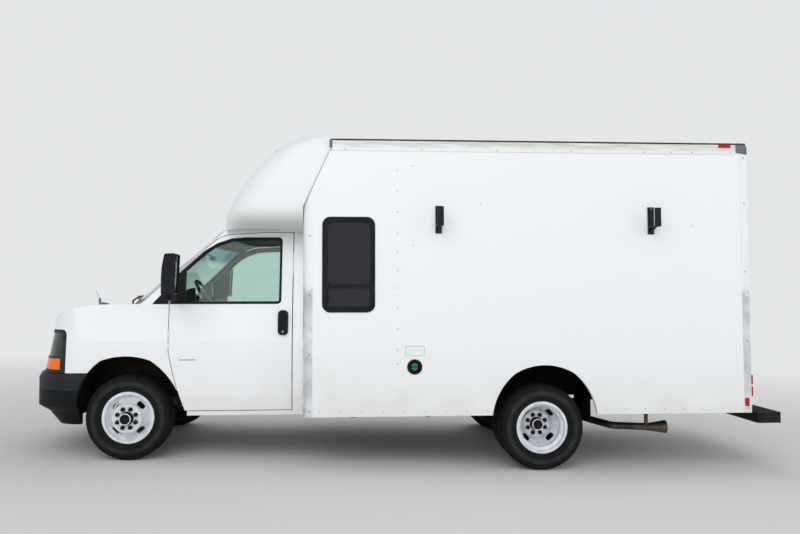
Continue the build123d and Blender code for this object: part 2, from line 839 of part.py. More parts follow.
rear_arch_points = ((3099, 380), (3291, 727), (3551, 800), (3811, 727), (4003, 380))
with BuildPart() as rear_arch:
    with BuildSketch(side.offset(900)):
        with BuildLine():
            p = rear_arch_points
            ThreePointArc(p[0], (3168, 583), p[1])
            ThreePointArc(p[1], p[2], p[3])
            ThreePointArc(p[3], (3934, 583), p[4])
            Polyline(p[4], (p[4][0], 200), (p[0][0], 200), p[0])
        make_face()
    extrude(amount=500)

window_x0, window_x1 = 1665, 2095
window_z0, window_z1 = 1260, 2052
filler_x, filler_z, filler_radius = 2437, 793, 52
window_outline = [
    (window_x0, window_z0), (window_x0, window_z1), (window_x1, window_z1), (window_x1, window_z0)
]
wall_points = [
    (post_rear_x, skirt_z),
    (rear_frame_x, skirt_z),
    (rear_frame_x, cove_low_z),
    seam_high,
    (post_rear_x, seam_z(post_rear_x)),
]
with BuildPart() as box_wall_left:
    add(side_prism(wall_points, -box_half, -inner_half))
    add(side_prism(window_outline, -1300, -1100, radius=62, spread=fit), mode=Mode.SUBTRACT)
    add(rear_arch.part, mode=Mode.SUBTRACT)
    add(rod(filler_radius, filler_x, filler_z, -1300, -1100), mode=Mode.SUBTRACT)
pieces["box_wall_left"] = box_wall_left

with BuildPart() as box_wall_right:
    add(side_prism(wall_points, inner_half, box_half))
    add(side_prism(window_outline, 1100, 1300, radius=62, spread=fit), mode=Mode.SUBTRACT)
    mirror(rear_arch.part, about=side, mode=Mode.SUBTRACT)
pieces["box_wall_right"] = box_wall_right

with BuildPart() as box_front_wall:
    half = box_half - post_width
    add(block(box_front_x, box_front_x + wall, -half, half, frame_top_z + 20, seam_low[1]))
    for y0, y1 in ((-half, -sill_inner_half), (sill_inner_half, half)):
        add(block(box_front_x, box_front_x + wall, y0, y1, skirt_z, seam_low[1]))
    add(block(1400, 1600, -passage_half, passage_half, deck_top_z, passage_top_z), mode=Mode.SUBTRACT)
pieces["box_front_wall"] = box_front_wall

with BuildPart() as box_roof:
    roof_half = box_half - cove_width
    add(block(rail_start_x, rear_frame_x, -roof_half, roof_half, cove_high_z - wall, cove_high_z))
pieces["box_roof"] = box_roof

# Box frame: rounded corner posts in front, cove rails along the roof and the rear door's frame
with BuildPart() as box_frame:
    with BuildSketch(Plane.XY.offset(skirt_z)) as plan:
        with Locations((box_front_x + post_width / 2, -box_half + post_width / 2)):
            Rectangle(post_width, post_width)
        outer = plan.vertices().sort_by(lambda v: v.X + v.Y)[0]
        fillet(outer, post_radius)
        room_x, room_y = box_front_x + (post_width + wall) / 2, -box_half + (post_width + wall) / 2
        with Locations((room_x, room_y)):
            Rectangle(post_width - wall, post_width - wall, mode=Mode.SUBTRACT)
    extrude(amount=seam_z(post_rear_x) - skirt_z)
    seam_cut = side_prism(
        [(1400, seam_z(1400)), (1400, 2900), (1800, 2900), (1800, seam_z(1800))], -1300, -1000
    )
    add(seam_cut, mode=Mode.SUBTRACT)
    add(side_prism(
        [
            (rail_start_x, cove_low_z),
            (rail_start_x, cove_high_z),
            (box_rear_x, cove_high_z),
            (box_rear_x, cove_low_z),
        ],
        -box_half - cove_proud,
        -box_half + cove_width,
    ))
    post_half = box_half + cove_proud
    add(block(rear_frame_x, box_rear_x, -post_half, -post_half + 80, skirt_z, cove_low_z))
    mirror(about=side)
    add(block(rear_frame_x, box_rear_x, -1160, 1160, header_low_z, cove_high_z))
    add(block(rear_frame_x, box_rear_x, -1160, 1160, sill_low_z, deck_top_z))
pieces["box_frame"] = box_frame


# Moulded nose of the box: level sections lofted, hollow, resting on the seam and clear of the cab
cap_levels = (  # (height, front x, half width, front corner radius)
    (cap_low_z, 806, 1150, 260),
    (2060, 806, 1190, 300),
    (2285, 905, 1214, 330),
    (2510, 1068, 1214, 330),
    (2655, 1225, 1200, 310),
    (cap_high_z, 1430, 1140, 260),
)


def under_cap(inset):
    """What the moulded nose leaves free below its sloping underside, on the left."""
    low_z = cap_low_z + inset
    low_half = cap_low_half - inset
    outer_half = box_half + 100
    with BuildPart() as wedge:
        for x in (cap_levels[0][1] - 100, cap_rear_x + 80):
            belly_z = seam_low[1] + (x - seam_low[0]) * belly_slope + inset
            outer_z = low_z + (belly_z - low_z) * (outer_half - low_half) / (box_half - low_half)
            with BuildSketch(Plane.YZ.offset(x)):
                with BuildLine():
                    Polyline(
                        (-low_half, low_z),
                        (-outer_half, outer_z),
                        (-outer_half, 1700),
                        (-low_half, 1700),
                        close=True,
                    )
                make_face()
        loft(ruled=True)
    return wedge.part


def cap_solid(inset):
    """The moulded nose as a closed form, drawn in by inset."""
    rear = cap_rear_x + 60
    with BuildPart() as solid:
        for z, front, half, corner in cap_levels:
            shift = inset if z == cap_low_z else -inset if z == cap_high_z else 0
            with BuildSketch(Plane.XY.offset(z + shift)) as plan:
                with Locations(((front + inset + rear) / 2, 0)):
                    Rectangle(rear - front - inset, 2 * (half - inset))
                fillet(plan.vertices().group_by(Axis.X)[0], corner)
        loft()
        below = under_cap(inset)
        add(below, mode=Mode.SUBTRACT)
        mirror(below, about=side, mode=Mode.SUBTRACT)
    return solid.part


seam_and_behind = [
    (seam_low[0], cap_low_z - 200),
    seam_low,
    seam_high,
    (cap_rear_x, seam_high[1]),
    (cap_rear_x, 3000),
    (box_rear_x, 3000),
    (box_rear_x, cap_low_z - 200),
]
with BuildPart() as front_cap:
    add(cap_solid(0))
    add(cap_solid(cap_wall), mode=Mode.SUBTRACT)
    add(side_prism(seam_and_behind, -1300, 1300), mode=Mode.SUBTRACT)
    add(cab_clear, mode=Mode.SUBTRACT)
    add(block(cab_rear_x - 1, cap_rear_x, -840, 840, cap_low_z - 1, cap_low_z + cap_wall), mode=Mode.SUBTRACT)
pieces["front_cap"] = front_cap

# Side windows of the box: a flanged frame round a fixed upper pane and a sliding lower one
upper_pane = [(1703, 1490), (1703, 2015), (2063, 2015), (2063, 1490)]
lower_pane = [(1703, 1302), (1703, 1456), (2063, 1456), (2063, 1302)]
with BuildPart() as side_window_frames:
    add(side_prism(window_outline, -box_half, -inner_half, radius=62))
    add(side_prism(window_outline, -box_half - 6, -box_half, radius=62, spread=8))
    for pane, corner in ((upper_pane, 45), (lower_pane, 24)):
        add(side_prism(pane, -1300, -1100, radius=corner), mode=Mode.SUBTRACT)
    mirror(about=side)
pieces["side_window_frames"] = side_window_frames

with BuildPart() as side_window_glass:
    for pane, corner, y in ((upper_pane, 45, -1212), (lower_pane, 24, -1200)):
        add(side_prism(pane, y, y + 6, radius=corner, spread=-fit))
    mirror(about=side)
pieces["side_window_glass"] = side_window_glass

# Ladder hooks on the left wall: a plate, an arm reaching out and a lip turned up at its end
with BuildPart() as ladder_hooks:
    for x in hook_places:
        x0, x1 = x - hook_width / 2, x + hook_width / 2
        add(block(x0, x1, -box_half - hook_gauge, -box_half, hook_low_z, hook_low_z + hook_plate_height))
        arm_z = hook_low_z + 55
        tip_half = box_half + hook_reach
        add(block(x0, x1, -tip_half, -box_half - hook_gauge, arm_z, arm_z + hook_gauge))
        add(block(x0, x1, -tip_half, -tip_half + hook_gauge, arm_z, hook_low_z + hook_lip_height))
        with BuildSketch(Plane.YZ.offset(x - hook_gauge / 2)):
            with BuildLine():
                Polyline(
                    (-box_half - hook_gauge, hook_low_z + 10),
                    (-box_half - hook_gauge, arm_z + 1),
                    (-tip_half + 30, arm_z + 1),
                    close=True,
                )
            make_face()
        extrude(amount=hook_gauge)
        for z in (hook_low_z + 25, hook_low_z + hook_plate_height - 25):
            add(rod(7, x, z, -box_half - hook_gauge - 6, -box_half - hook_gauge + 1))
pieces["ladder_hooks"] = ladder_hooks

# Fuel filler: a dished cup let into the left wall, with its ring and cap, and the hose to the tank
with BuildPart() as fuel_filler:
    add(rod(filler_radius + 12, filler_x, filler_z, -box_half - 4, -box_half))
    add(rod(filler_radius - fit, filler_x, filler_z, -box_half - 1, -inner_half))
    add(rod(filler_radius - 8, filler_x, filler_z, -box_half - 5, -inner_half - 10), mode=Mode.SUBTRACT)
    add(rod(30, filler_x, filler_z, -inner_half - 34, -inner_half - 9))
    add(block(filler_x - 34, filler_x + 34, -inner_half - 39, -inner_half - 33, filler_z - 7, filler_z + 7))
pieces["fuel_filler"] = fuel_filler

with BuildPart() as filler_hose:
    with BuildLine() as hose:
        FilletPolyline(
            (filler_x, -inner_half, filler_z - 18),
            (filler_x, -1090, filler_z - 18),
            (filler_x, -860, 640),
            (filler_x, -860, tank_top_z + fit),
            radius=55,
        )
    with BuildSketch(Plane(origin=hose.wires()[0] @ 0, z_dir=hose.wires()[0] % 0)):
        Circle(hose_radius)
    sweep()
pieces["filler_hose"] = filler_hose

# Step bumper across the back, on two arms from the frame
with BuildPart() as step_bumper:
    step_low_z = step_top_z - step_depth
    add(block(step_front_x, step_rear_x, -step_half, step_half, step_low_z, step_top_z))
    add(block(step_front_x + step_gauge, step_rear_x - step_gauge, -step_half - 1, step_half + 1,
              step_low_z - 1, step_top_z - step_gauge), mode=Mode.SUBTRACT)
    for y in (-step_half, step_half - step_gauge):
        add(block(step_front_x, step_rear_x, y, y + step_gauge, step_low_z, step_top_z))
    for y in (-frame_half, frame_half - step_arm_width):
        arm_points = [
            (rail_end_x, frame_top_z - 20), (rail_end_x, frame_top_z - frame_depth),
            (step_front_x, step_low_z), (step_front_x, step_top_z),
        ]
        add(side_prism(arm_points, y, y + step_arm_width))
pieces["step_bumper"] = step_bumper

# Red lamps and reflectors at the back and low on the sides
with BuildPart() as red_lamps:
    for z in (520, 620):
        add(block(box_rear_x, box_rear_x + 28, -1196, -1148, z, z + 80))
    add(block(5305, 5339, -post_half - 6, -post_half, 437, 506))
    add(block(5110, 5214, -post_half - 12, -post_half, 2686, 2725))
    mirror(about=side)
    for y in (-180, 0, 180):
        add(block(box_rear_x, box_rear_x + 20, y - 40, y + 40, 2650, 2684))
pieces["red_lamps"] = red_lamps

# Rear doors: a panel on each side with its lock rod, on pins that stand on the rear posts
rear_door_x0, rear_door_x1 = box_rear_x - 38, box_rear_x - 8
rear_pin_x, rear_pin_half = box_rear_x + 14, 1165
with BuildPart() as rear_door_left:
    door_z0, door_z1 = deck_top_z + gap, header_low_z - gap
    add(block(rear_door_x0, rear_door_x1, -rear_door_half, -gap / 2, door_z0, door_z1))
    for z in rear_hinge_heights:
        add(block(rear_door_x1, rear_door_x1 + 6, -rear_door_half + 90, -60, z, z + 50))
        add(block(rear_door_x1, rear_pin_x + 9, -rear_door_half + 6, -rear_door_half + 92, z, z + 50))
        add(upright(9, rear_pin_x, -rear_pin_half, z, z + 50))
        add(block(box_rear_x + gap, rear_pin_x + 9, -rear_pin_half, -rear_door_half + 7, z, z + 50))
        add(upright(5 + fit, rear_pin_x, -rear_pin_half, z - 1, z + 51), mode=Mode.SUBTRACT)
    add(upright(11, rear_door_x1 + 16, -90, door_z0 + 6, door_z1 - 6))
    for z in (door_z0 + 60, 1450, door_z1 - 120):
        add(block(rear_door_x1, rear_door_x1 + 26, -110, -70, z, z + 60))
    add(block(rear_door_x1 + 20, rear_door_x1 + 46, -100, -80, 1180, 1300))
    add(block(rear_door_x1 + 32, rear_door_x1 + 46, -330, -80, 1228, 1252))
with BuildPart() as rear_door_right:
    mirror(rear_door_left.part, about=side)
pieces["rear_door_left"] = rear_door_left
pieces["rear_door_right"] = rear_door_right
for z in rear_hinge_heights:
    for y in (-rear_pin_half, rear_pin_half):
        box_frame.part += upright(5, rear_pin_x, y, z - 14, z + 64)
        for z0 in (z - 18, z + 50 + fit * 2):
            box_frame.part += upright(9, rear_pin_x, y, z0, z0 + 17)
            box_frame.part += block(box_rear_x - 2, rear_pin_x, y - 9, y + 9, z0, z0 + 17)

# Ladder frame with its crossmembers
with BuildPart() as frame_rails:
    low_z = frame_top_z - frame_depth
    add(block(rail_start, rail_end_x, -frame_half, -frame_half + frame_flange, low_z, frame_top_z))
    add(block(rail_start - 1, rail_end_x + 1, -frame_half + frame_gauge, -frame_half + frame_flange + 1,
              low_z + frame_gauge, frame_top_z - frame_gauge), mode=Mode.SUBTRACT)
    mirror(about=side)
    reach = frame_half - frame_gauge
    for x in crossmember_places:
        add(block(x, x + 60, -reach, reach, low_z + 20, frame_top_z - 40))
pieces["frame_rails"] = frame_rails

# Engine and gearbox as one plain block
with BuildPart() as engine_block:
    add(block(-560, 200, -250, 250, 470, 920))
    add(side_prism([(199, 470), (199, 640), (900, 520), (900, 380)], -150, 150))
    for y in (-frame_half + frame_gauge + fit, 249):
        add(block(-240, -150, y, y + frame_half - frame_gauge - fit - 249, 500, 560))
pieces["engine_block"] = engine_block

# Leaf springs of the rear axle, hung from the frame on brackets
spring_z = rear_axle_z + 62
spring_top_z = spring_z + len(leaf_lengths) * leaf_gauge
leaf_centre_z = spring_top_z + leaf_radius
with BuildPart() as leaf_springs:
    for k, (ahead, behind) in enumerate(leaf_lengths):
        with BuildSketch(side.offset(spring_half + spring_width / 2)):
            with Locations((rear_axle_x, leaf_centre_z)):
                Circle(leaf_radius + (k + 1) * leaf_gauge)
                Circle(leaf_radius + k * leaf_gauge, mode=Mode.SUBTRACT)
            with Locations((rear_axle_x + (behind - ahead) / 2, spring_top_z)):
                Rectangle(ahead + behind, 600, mode=Mode.INTERSECT)
        extrude(amount=-spring_width)
    for reach in (-leaf_lengths[0][0], leaf_lengths[0][1]):
        x = rear_axle_x + reach
        eye_z = leaf_centre_z - sqrt((leaf_radius + leaf_gauge / 2) ** 2 - reach**2)
        add(rod(28, x, eye_z, -spring_half - spring_width / 2, -spring_half + spring_width / 2))
        add(rod(10, x, eye_z, -spring_half - 46, -frame_half))
        add(block(x - 30, x + 30, -spring_half - 46, -spring_half - 38, eye_z - 26, 600))
        add(block(x - 30, x + 30, -frame_half - 8, -frame_half, eye_z - 26, 600))
        add(block(x - 30, x + 30, -spring_half - 46, -frame_half, 592, 600))
    mirror(about=side)
pieces["leaf_springs"] = leaf_springs

# Rear axle: tube, differential, spindles, spring seats and the shaft to the gearbox
with BuildPart() as rear_axle:
    add(rod(45, rear_axle_x, rear_axle_z, -760, 760))
    with Locations((rear_axle_x, 0, rear_axle_z)):
        Sphere(150)
    add(rod(hub_bore - 0.4, rear_axle_x, rear_axle_z, -955, 955))
    for y in (-774, 766):
        add(rod(155, rear_axle_x, rear_axle_z, y, y + 8))
    for y in (-spring_half - 45, spring_half - 45):
        add(block(rear_axle_x - 60, rear_axle_x + 60, y, y + 90, rear_axle_z + 30, spring_z - fit))
        for x in (rear_axle_x - 50, rear_axle_x + 50):
            for dy in (3, 87):
                add(upright(6, x, y + dy, rear_axle_z - 60, spring_top_z + 24))
        add(block(rear_axle_x - 60, rear_axle_x + 60, y, y + 90, spring_top_z + 1, spring_top_z + 13))
        add(block(rear_axle_x - 60, rear_axle_x + 60, y, y + 90, rear_axle_z - 56, rear_axle_z - 40))
    shaft_start = Vector(908, 0, 430)
    shaft_end = Vector(rear_axle_x - 120, 0, rear_axle_z + 10)
    with BuildSketch(Plane(origin=shaft_start, z_dir=shaft_end - shaft_start)):
        Circle(42)
    extrude(amount=(shaft_end - shaft_start).length)
pieces["rear_axle"] = rear_axle

# Front suspension: crossmember, towers, arms, ball joints and springs, the same on both sides
kingpin_lean = tan(radians(rake))


def kingpin_rod(radius, z0, z1):
    """A round bar on the left kingpin, which stands plumb while the vehicle leans, between two heights."""
    start = Vector(z0 * kingpin_lean, -kingpin_half, axle_z + z0)
    end = Vector(z1 * kingpin_lean, -kingpin_half, axle_z + z1)
    with BuildPart() as solid:
        with BuildSketch(Plane(origin=start, z_dir=end - start)):
            Circle(radius)
        extrude(amount=(end - start).length)
    return solid.part


with BuildPart() as front_suspension:
    add(block(-110, 110, -frame_half - 1, 0, 290, 400))
    add(block(-90, 90, -560, -frame_half, axle_z - arm_reach - arm_gauge, frame_top_z))
    for way in (-1, 1):
        low, high = sorted((axle_z + way * arm_reach, axle_z + way * (arm_reach + arm_gauge)))
        with BuildSketch(Plane.XY.offset(low)):
            with BuildLine():
                Polyline((-90, -540), (90, -540), (34, -kingpin_half), (-34, -kingpin_half), close=True)
            make_face()
        extrude(amount=arm_gauge)
        socket = sorted((way * (arm_reach + 1), way * (arm_reach + arm_gauge)))
        add(kingpin_rod(ball_radius + 6, *socket))
        with Locations((way * ball_reach * kingpin_lean, -kingpin_half, axle_z + way * ball_reach)):
            Sphere(ball_radius)
        add(kingpin_rod(ball_radius * 0.6, *sorted((way * ball_reach, way * (arm_reach + 2)))))
    add(upright(48, 0, -640, axle_z - arm_reach - 1, axle_z + arm_reach + 1))
    mirror(about=side)
pieces["front_suspension"] = front_suspension

# Steered knuckles: upright, spindle and brake caliper
knuckle_reach = arm_reach - gap
with BuildPart() as knuckle_left:
    low_z, high_z = axle_z - knuckle_reach, axle_z + knuckle_reach
    add(block(-32, 32, -kingpin_half - 18, -kingpin_half + 30, low_z, high_z))
    for way in (-1, 1):
        with Locations((way * ball_reach * kingpin_lean, -kingpin_half, axle_z + way * ball_reach)):
            Sphere(ball_radius + fit, mode=Mode.SUBTRACT)
        bore = sorted((way * ball_reach, way * (knuckle_reach + 1)))
        add(kingpin_rod(ball_radius + fit, *bore), mode=Mode.SUBTRACT)
    add(rod(spindle_radius, 0, axle_z, -spindle_end, -kingpin_half))
    add(block(20, disc_radius, -kingpin_half - 10, -kingpin_half + 8, axle_z - 40, axle_z + 40))
    caliper = block(disc_radius - 60, caliper_radius, -caliper_out, -caliper_in, axle_z - 62, axle_z + 62)
    caliper = caliper & rod(caliper_radius, 0, axle_z, -caliper_out, -caliper_in)
    caliper -= block(disc_radius - 62, disc_radius + 5, -disc_out - 5, -disc_in + 5, axle_z - 64, axle_z + 64)
    add(caliper)
with BuildPart() as knuckle_right:
    mirror(knuckle_left.part, about=side)
pieces["knuckle_left"] = knuckle_left
pieces["knuckle_right"] = knuckle_right


def wheel_revolve(points):
    """A ring turned about the wheel's axle from its outline as (distance along the axle, radius)."""
    with BuildPart() as solid:
        with BuildSketch(Plane.XZ):
            with BuildLine():
                Polyline(*[(along, radius) for along, radius in points], close=True)
            make_face()
        revolve(axis=Axis.X, revolution_arc=360)
    return solid.part


def tyre_solid():
    """A tyre about the x axis with its middle at the origin, round-shouldered and open inside."""
    half = tyre_width / 2
    bead_radius = seat_radius + fit
    lip = rim_width / 2 - rim_gauge - 0.5
    toe = lip - 15
    with BuildPart() as solid:
        with BuildSketch(Plane.XZ):
            with BuildLine():
                Polyline((-lip, bead_radius), (-lip, 220.6), (-92, 221.5), (-half + 8, 240))
                ThreePointArc((-half + 8, 240), (-half, 285), (-half + 12, 328))
                ThreePointArc((-half + 12, 328), (-half + 22, 350), (-half + 46, tyre_radius))
                Line((-half + 46, tyre_radius), (half - 46, tyre_radius))
                ThreePointArc((half - 46, tyre_radius), (half - 22, 350), (half - 12, 328))
                ThreePointArc((half - 12, 328), (half, 285), (half - 8, 240))
                Polyline((half - 8, 240), (92, 221.5), (lip, 220.6), (lip, bead_radius), (toe, bead_radius))
                Line((toe, bead_radius), (half - 24, 260))
                ThreePointArc((half - 24, 260), (0, 345), (-half + 24, 260))
                Polyline((-half + 24, 260), (-toe, bead_radius), (-lip, bead_radius))
            make_face()
        revolve(axis=Axis.X, revolution_arc=360)
    return solid.part


rim_points = [
    (-89, 220), (-82, 220), (-82, 205), (-52, 205), (-34, 182), (34, 182), (52, 205), (82, 205),
    (82, 220), (89, 220), (89, 198), (56, 196), (38, 174), (-38, 174), (-56, 196), (-89, 198),
]
disc_points = [
    (34, 181), (44, 181), (70, 160), (96, 138), (wheel_offset, 122), (wheel_offset, 49.5),
    (wheel_offset - 12, 49.5), (wheel_offset - 12, 112), (88, 128), (62, 150), (34, 172),
]


@cache
def rim_solid():
    """Rim and dished disc about the x axis, the face that meets the hub at x = wheel_offset."""
    with BuildPart() as solid:
        add(wheel_revolve(rim_points))
        add(wheel_revolve(disc_points))
        hole_plane = Plane.YZ.offset(40)
        with BuildSketch(hole_plane):
            with PolarLocations(hand_hole_circle, hand_hole_count, start_angle=45):
                SlotOverall(76, 36, rotation=90)
        extrude(amount=100, mode=Mode.SUBTRACT)
    return solid.part


def placed(piece, y, turned, z=axle_z, x=0):
    """A wheel's piece carried from the x axis to the axle, its x end pointing to the left or the right."""
    return Location((x, y, z), (0, 0, 90 if turned else -90)) * piece


def lugs(y0, y1, x, z):
    """A circle of wheel nuts."""
    with BuildPart() as solid:
        with BuildSketch(side.offset(-y0)):
            with Locations((x, z)):
                with PolarLocations(lug_circle / 2, lug_count, start_angle=22.5):
                    RegularPolygon(lug_radius, 6)
        extrude(amount=y0 - y1)
    return solid.part


tyre_shape = tyre_solid()
rim_shape = rim_solid()
rim_middle = front_tyre_half
with BuildPart() as wheel_front_left:
    face = rim_middle + wheel_offset
    add(placed(rim_shape, -rim_middle, False))
    add(rod(hub_plate_radius, 0, axle_z, -face + 11, -face + 22))
    add(rod(hub_radius, 0, axle_z, -face, -disc_in))
    add(rod(cap_radius, 0, axle_z, -face - 56, -face + 1))
    add(rod(disc_radius, 0, axle_z, -disc_out, -disc_in))
    add(lugs(-face - lug_height, -face + 1, 0, axle_z))
    add(rod(spindle_radius + 0.4, 0, axle_z, -spindle_end - 2, -disc_in + 1), mode=Mode.SUBTRACT)
with BuildPart() as wheel_front_right:
    mirror(wheel_front_left.part, about=side)
with BuildPart() as tyre_front_left:
    add(placed(tyre_shape, -front_tyre_half, False))
with BuildPart() as tyre_front_right:
    add(placed(tyre_shape, front_tyre_half, False))

twin_middles = (twin_face_half + wheel_offset, twin_face_half - wheel_offset)
with BuildPart() as wheels_rear_left:
    for middle, turned in zip(twin_middles, (True, False)):
        add(placed(rim_shape, -middle, turned, rear_axle_z, rear_axle_x))
    add(rod(hub_plate_radius, rear_axle_x, rear_axle_z, -twin_face_half - 12.5, -twin_face_half + 12.5))
    add(rod(hub_radius, rear_axle_x, rear_axle_z, -twin_face_half, -800))
    add(rod(cap_radius, rear_axle_x, rear_axle_z, -twin_face_half - 73, -twin_face_half))
    add(rod(drum_radius, rear_axle_x, rear_axle_z, -935, -780))
    add(rod(drum_radius - 12, rear_axle_x, rear_axle_z, -920, -779), mode=Mode.SUBTRACT)
    add(rod(hub_radius, rear_axle_x, rear_axle_z, -921, -800))
    add(lugs(-twin_face_half - 12 - lug_height, -twin_face_half - 12, rear_axle_x, rear_axle_z))
    add(rod(hub_bore, rear_axle_x, rear_axle_z, -957, -700), mode=Mode.SUBTRACT)
with BuildPart() as wheels_rear_right:
    mirror(wheels_rear_left.part, about=side)
with BuildPart() as tyres_rear_left:
    for middle in twin_middles:
        add(placed(tyre_shape, -middle, False, rear_axle_z, rear_axle_x))
with BuildPart() as tyres_rear_right:
    mirror(tyres_rear_left.part, about=side)
for name, piece in (
    ("wheel_front_left", wheel_front_left),
    ("wheel_front_right", wheel_front_right),
    ("tyre_front_left", tyre_front_left),
    ("tyre_front_right", tyre_front_right),
    ("wheels_rear_left", wheels_rear_left),
    ("wheels_rear_right", wheels_rear_right),
    ("tyres_rear_left", tyres_rear_left),
    ("tyres_rear_right", tyres_rear_right),
):
    pieces[name] = piece

# Fuel tank beside the left rail, held by two straps
with BuildPart() as fuel_tank:
    tank_points = [(1750, 330), (1750, tank_top_z), (2750, tank_top_z), (2750, 330)]
    add(side_prism(tank_points, -900, -470, radius=50))
    for x in (1900, 2560):
        add(block(x, x + 40, -904, -frame_half, tank_top_z - 1, tank_top_z + 10))
        add(block(x, x + 40, -904, -899, 325, tank_top_z + 10))
        add(block(x, x + 40, -904, -465, 325, 331))
pieces["fuel_tank"] = fuel_tank

# Exhaust: pipe from the engine, silencer, pipe over the axle and a flared tip behind the left wheels
pipe_points = (
    (250, 300, 380), (900, 290, 330), (1950, 270, 300), (2750, 270, 300), (3150, 270, 420), (3760, 270, 420),
    (3960, 100, 400), (4060, -480, 250), (4250, -860, 224), (4560, -950, 222),
)
tip_y, tip_z = -950, 222
with BuildPart() as exhaust:
    with BuildLine() as pipe_path:
        FilletPolyline(*pipe_points, radius=90)
    with BuildSketch(Plane(origin=pipe_path.wires()[0] @ 0, z_dir=pipe_path.wires()[0] % 0)):
        Circle(32)
    sweep()
    with BuildSketch(Plane.YZ.offset(2000)):
        with Locations((270, 300)):
            Ellipse(110, 75)
    extrude(amount=700)
    for x_low, low, x_high, high, mode in (
        (4540, 33, 4706, 58, Mode.ADD),
        (4600, 36, 4707, 53, Mode.SUBTRACT),
    ):
        for x, radius in ((x_low, low), (x_high, high)):
            with BuildSketch(Plane.YZ.offset(x)):
                with Locations((tip_y, tip_z)):
                    Circle(radius)
        loft(mode=mode)
    rail_low_z = frame_top_z - frame_depth
    for x, y, z in ((1300, 285, 305), (3300, 270, 407)):
        add(block(x, x + 24, y + 20, 400, z, z + 20))
        add(block(x, x + 24, 380, 400, z, rail_low_z - fit))
    add(block(4520, 4544, tip_y - 15, tip_y + 15, 240, 645))
    add(block(4520, 4544, tip_y - 15, -frame_half, 621, 645))
pieces["exhaust"] = exhaust


def finish():
    """Lean and place every piece, label it and write it."""
    turn = radians(rake)
    front_x = bumper_front_x * cos(turn) - (bumper_levels[1][0] - axle_z) * sin(turn)
    rear_x = step_rear_x * cos(turn) - (step_top_z - step_depth - axle_z) * sin(turn)
    stance = (
        Location((-(front_x + rear_x) / 2, 0, tyre_radius))
        * Location((0, 0, 0), (0, -rake, 0))
        * Location((0, 0, -axle_z))
    )
    os.makedirs("parts", exist_ok=True)
    for name, piece in pieces.items():
        piece.part = stance * piece.part
        piece.part.label = name
        export_step(piece.part, f"parts/{name}.step")


finish()
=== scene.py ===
from math import cos, pi, radians, sin, sqrt, tan

import bmesh
import bpy
from mathutils import Matrix, Vector


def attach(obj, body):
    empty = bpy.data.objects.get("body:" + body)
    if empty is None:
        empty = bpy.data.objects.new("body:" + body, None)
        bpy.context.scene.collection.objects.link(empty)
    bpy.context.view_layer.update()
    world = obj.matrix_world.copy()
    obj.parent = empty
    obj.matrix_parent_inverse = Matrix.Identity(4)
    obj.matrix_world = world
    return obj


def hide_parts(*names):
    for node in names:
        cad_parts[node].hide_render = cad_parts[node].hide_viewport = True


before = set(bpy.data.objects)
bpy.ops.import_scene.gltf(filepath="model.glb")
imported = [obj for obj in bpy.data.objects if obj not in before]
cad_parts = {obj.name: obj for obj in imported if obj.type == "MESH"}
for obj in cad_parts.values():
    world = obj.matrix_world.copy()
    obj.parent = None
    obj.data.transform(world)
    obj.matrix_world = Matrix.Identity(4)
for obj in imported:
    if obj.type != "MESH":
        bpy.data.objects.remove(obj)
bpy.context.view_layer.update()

# The way the vehicle stands. Empty, it sits nose down on its springs, so every piece is drawn level,
# in millimetres from the front axle, and leaned by the rake into its place over the ground.
rake = radians(1.42)
axle_height = 355
tyre_radius = 362
bumper_x, bumper_z = -939, 694
step_x, step_z = 5715, 262
front_end = bumper_x * cos(rake) - (bumper_z - axle_height) * sin(rake)
rear_end = step_x * cos(rake) - (step_z - axle_height) * sin(rake)
middle_x = -(front_end + rear_end) / 2000
leaned = (
    Matrix.Translation((middle_x, 0, tyre_radius / 1000))
    @ Matrix.Rotation(-rake, 4, "Y")
    @ Matrix.Translation((0, 0, -axle_height / 1000))
    @ Matrix.Scale(0.001, 4)
)

# Ladder frame, axle, springs and suspension: pressed and forged steel under black chassis paint,
# gone dull, with road dust and a little rust where the paint is thin.
def linear(code):
    """An sRGB colour written as six hex digits, as the shader wants it."""
    parts = [int(code[k : k + 2], 16) / 255 for k in (0, 2, 4)]
    return tuple(p / 12.92 if p <= 0.04045 else ((p + 0.055) / 1.055) ** 2.4 for p in parts) + (1,)


def feed(tree, made, **inputs):
    """Fills a node's inputs with numbers, hex colours, outputs or the first output of a node.

    A name has _ for a space, and n_6 is the input at place 6.
    """
    for key, value in inputs.items():
        plain = key.replace("_", " ")
        socket = made.inputs[int(plain[2:])] if plain.startswith("n ") else made.inputs[plain]
        if isinstance(value, bpy.types.Node):
            value = value.outputs[0]
        if isinstance(value, bpy.types.NodeSocket):
            tree.links.new(value, socket)
        else:
            socket.default_value = linear(value) if isinstance(value, str) else value
    return made


def node(tree, kind, settings=None, **inputs):
    """Adds a node with its settings and its inputs."""
    made = tree.nodes.new(kind)
    for key, value in (settings or {}).items():
        setattr(made, key, value)
    return feed(tree, made, **inputs)


def new_material(name):
    """A material with an empty surface shader, and the object's own coordinates."""
    made = bpy.data.materials.new(name)
    made.use_nodes = True
    tree = made.node_tree
    shader = tree.nodes["Principled BSDF"]
    place = node(tree, "ShaderNodeTexCoord").outputs["Object"]
    return made, tree, shader, place


def mottled(tree, place, low, high, scale, detail=4):
    """A colour that drifts between two tones, scale in patches per metre."""
    patches = node(tree, "ShaderNodeTexNoise", Vector=place, Scale=scale, Detail=detail)
    drift = node(tree, "ShaderNodeMapRange", Value=patches, From_Min=0.35, From_Max=0.65)
    return node(tree, "ShaderNodeMix", {"data_type": "RGBA"}, n_0=drift, n_6=low, n_7=high).outputs[2]


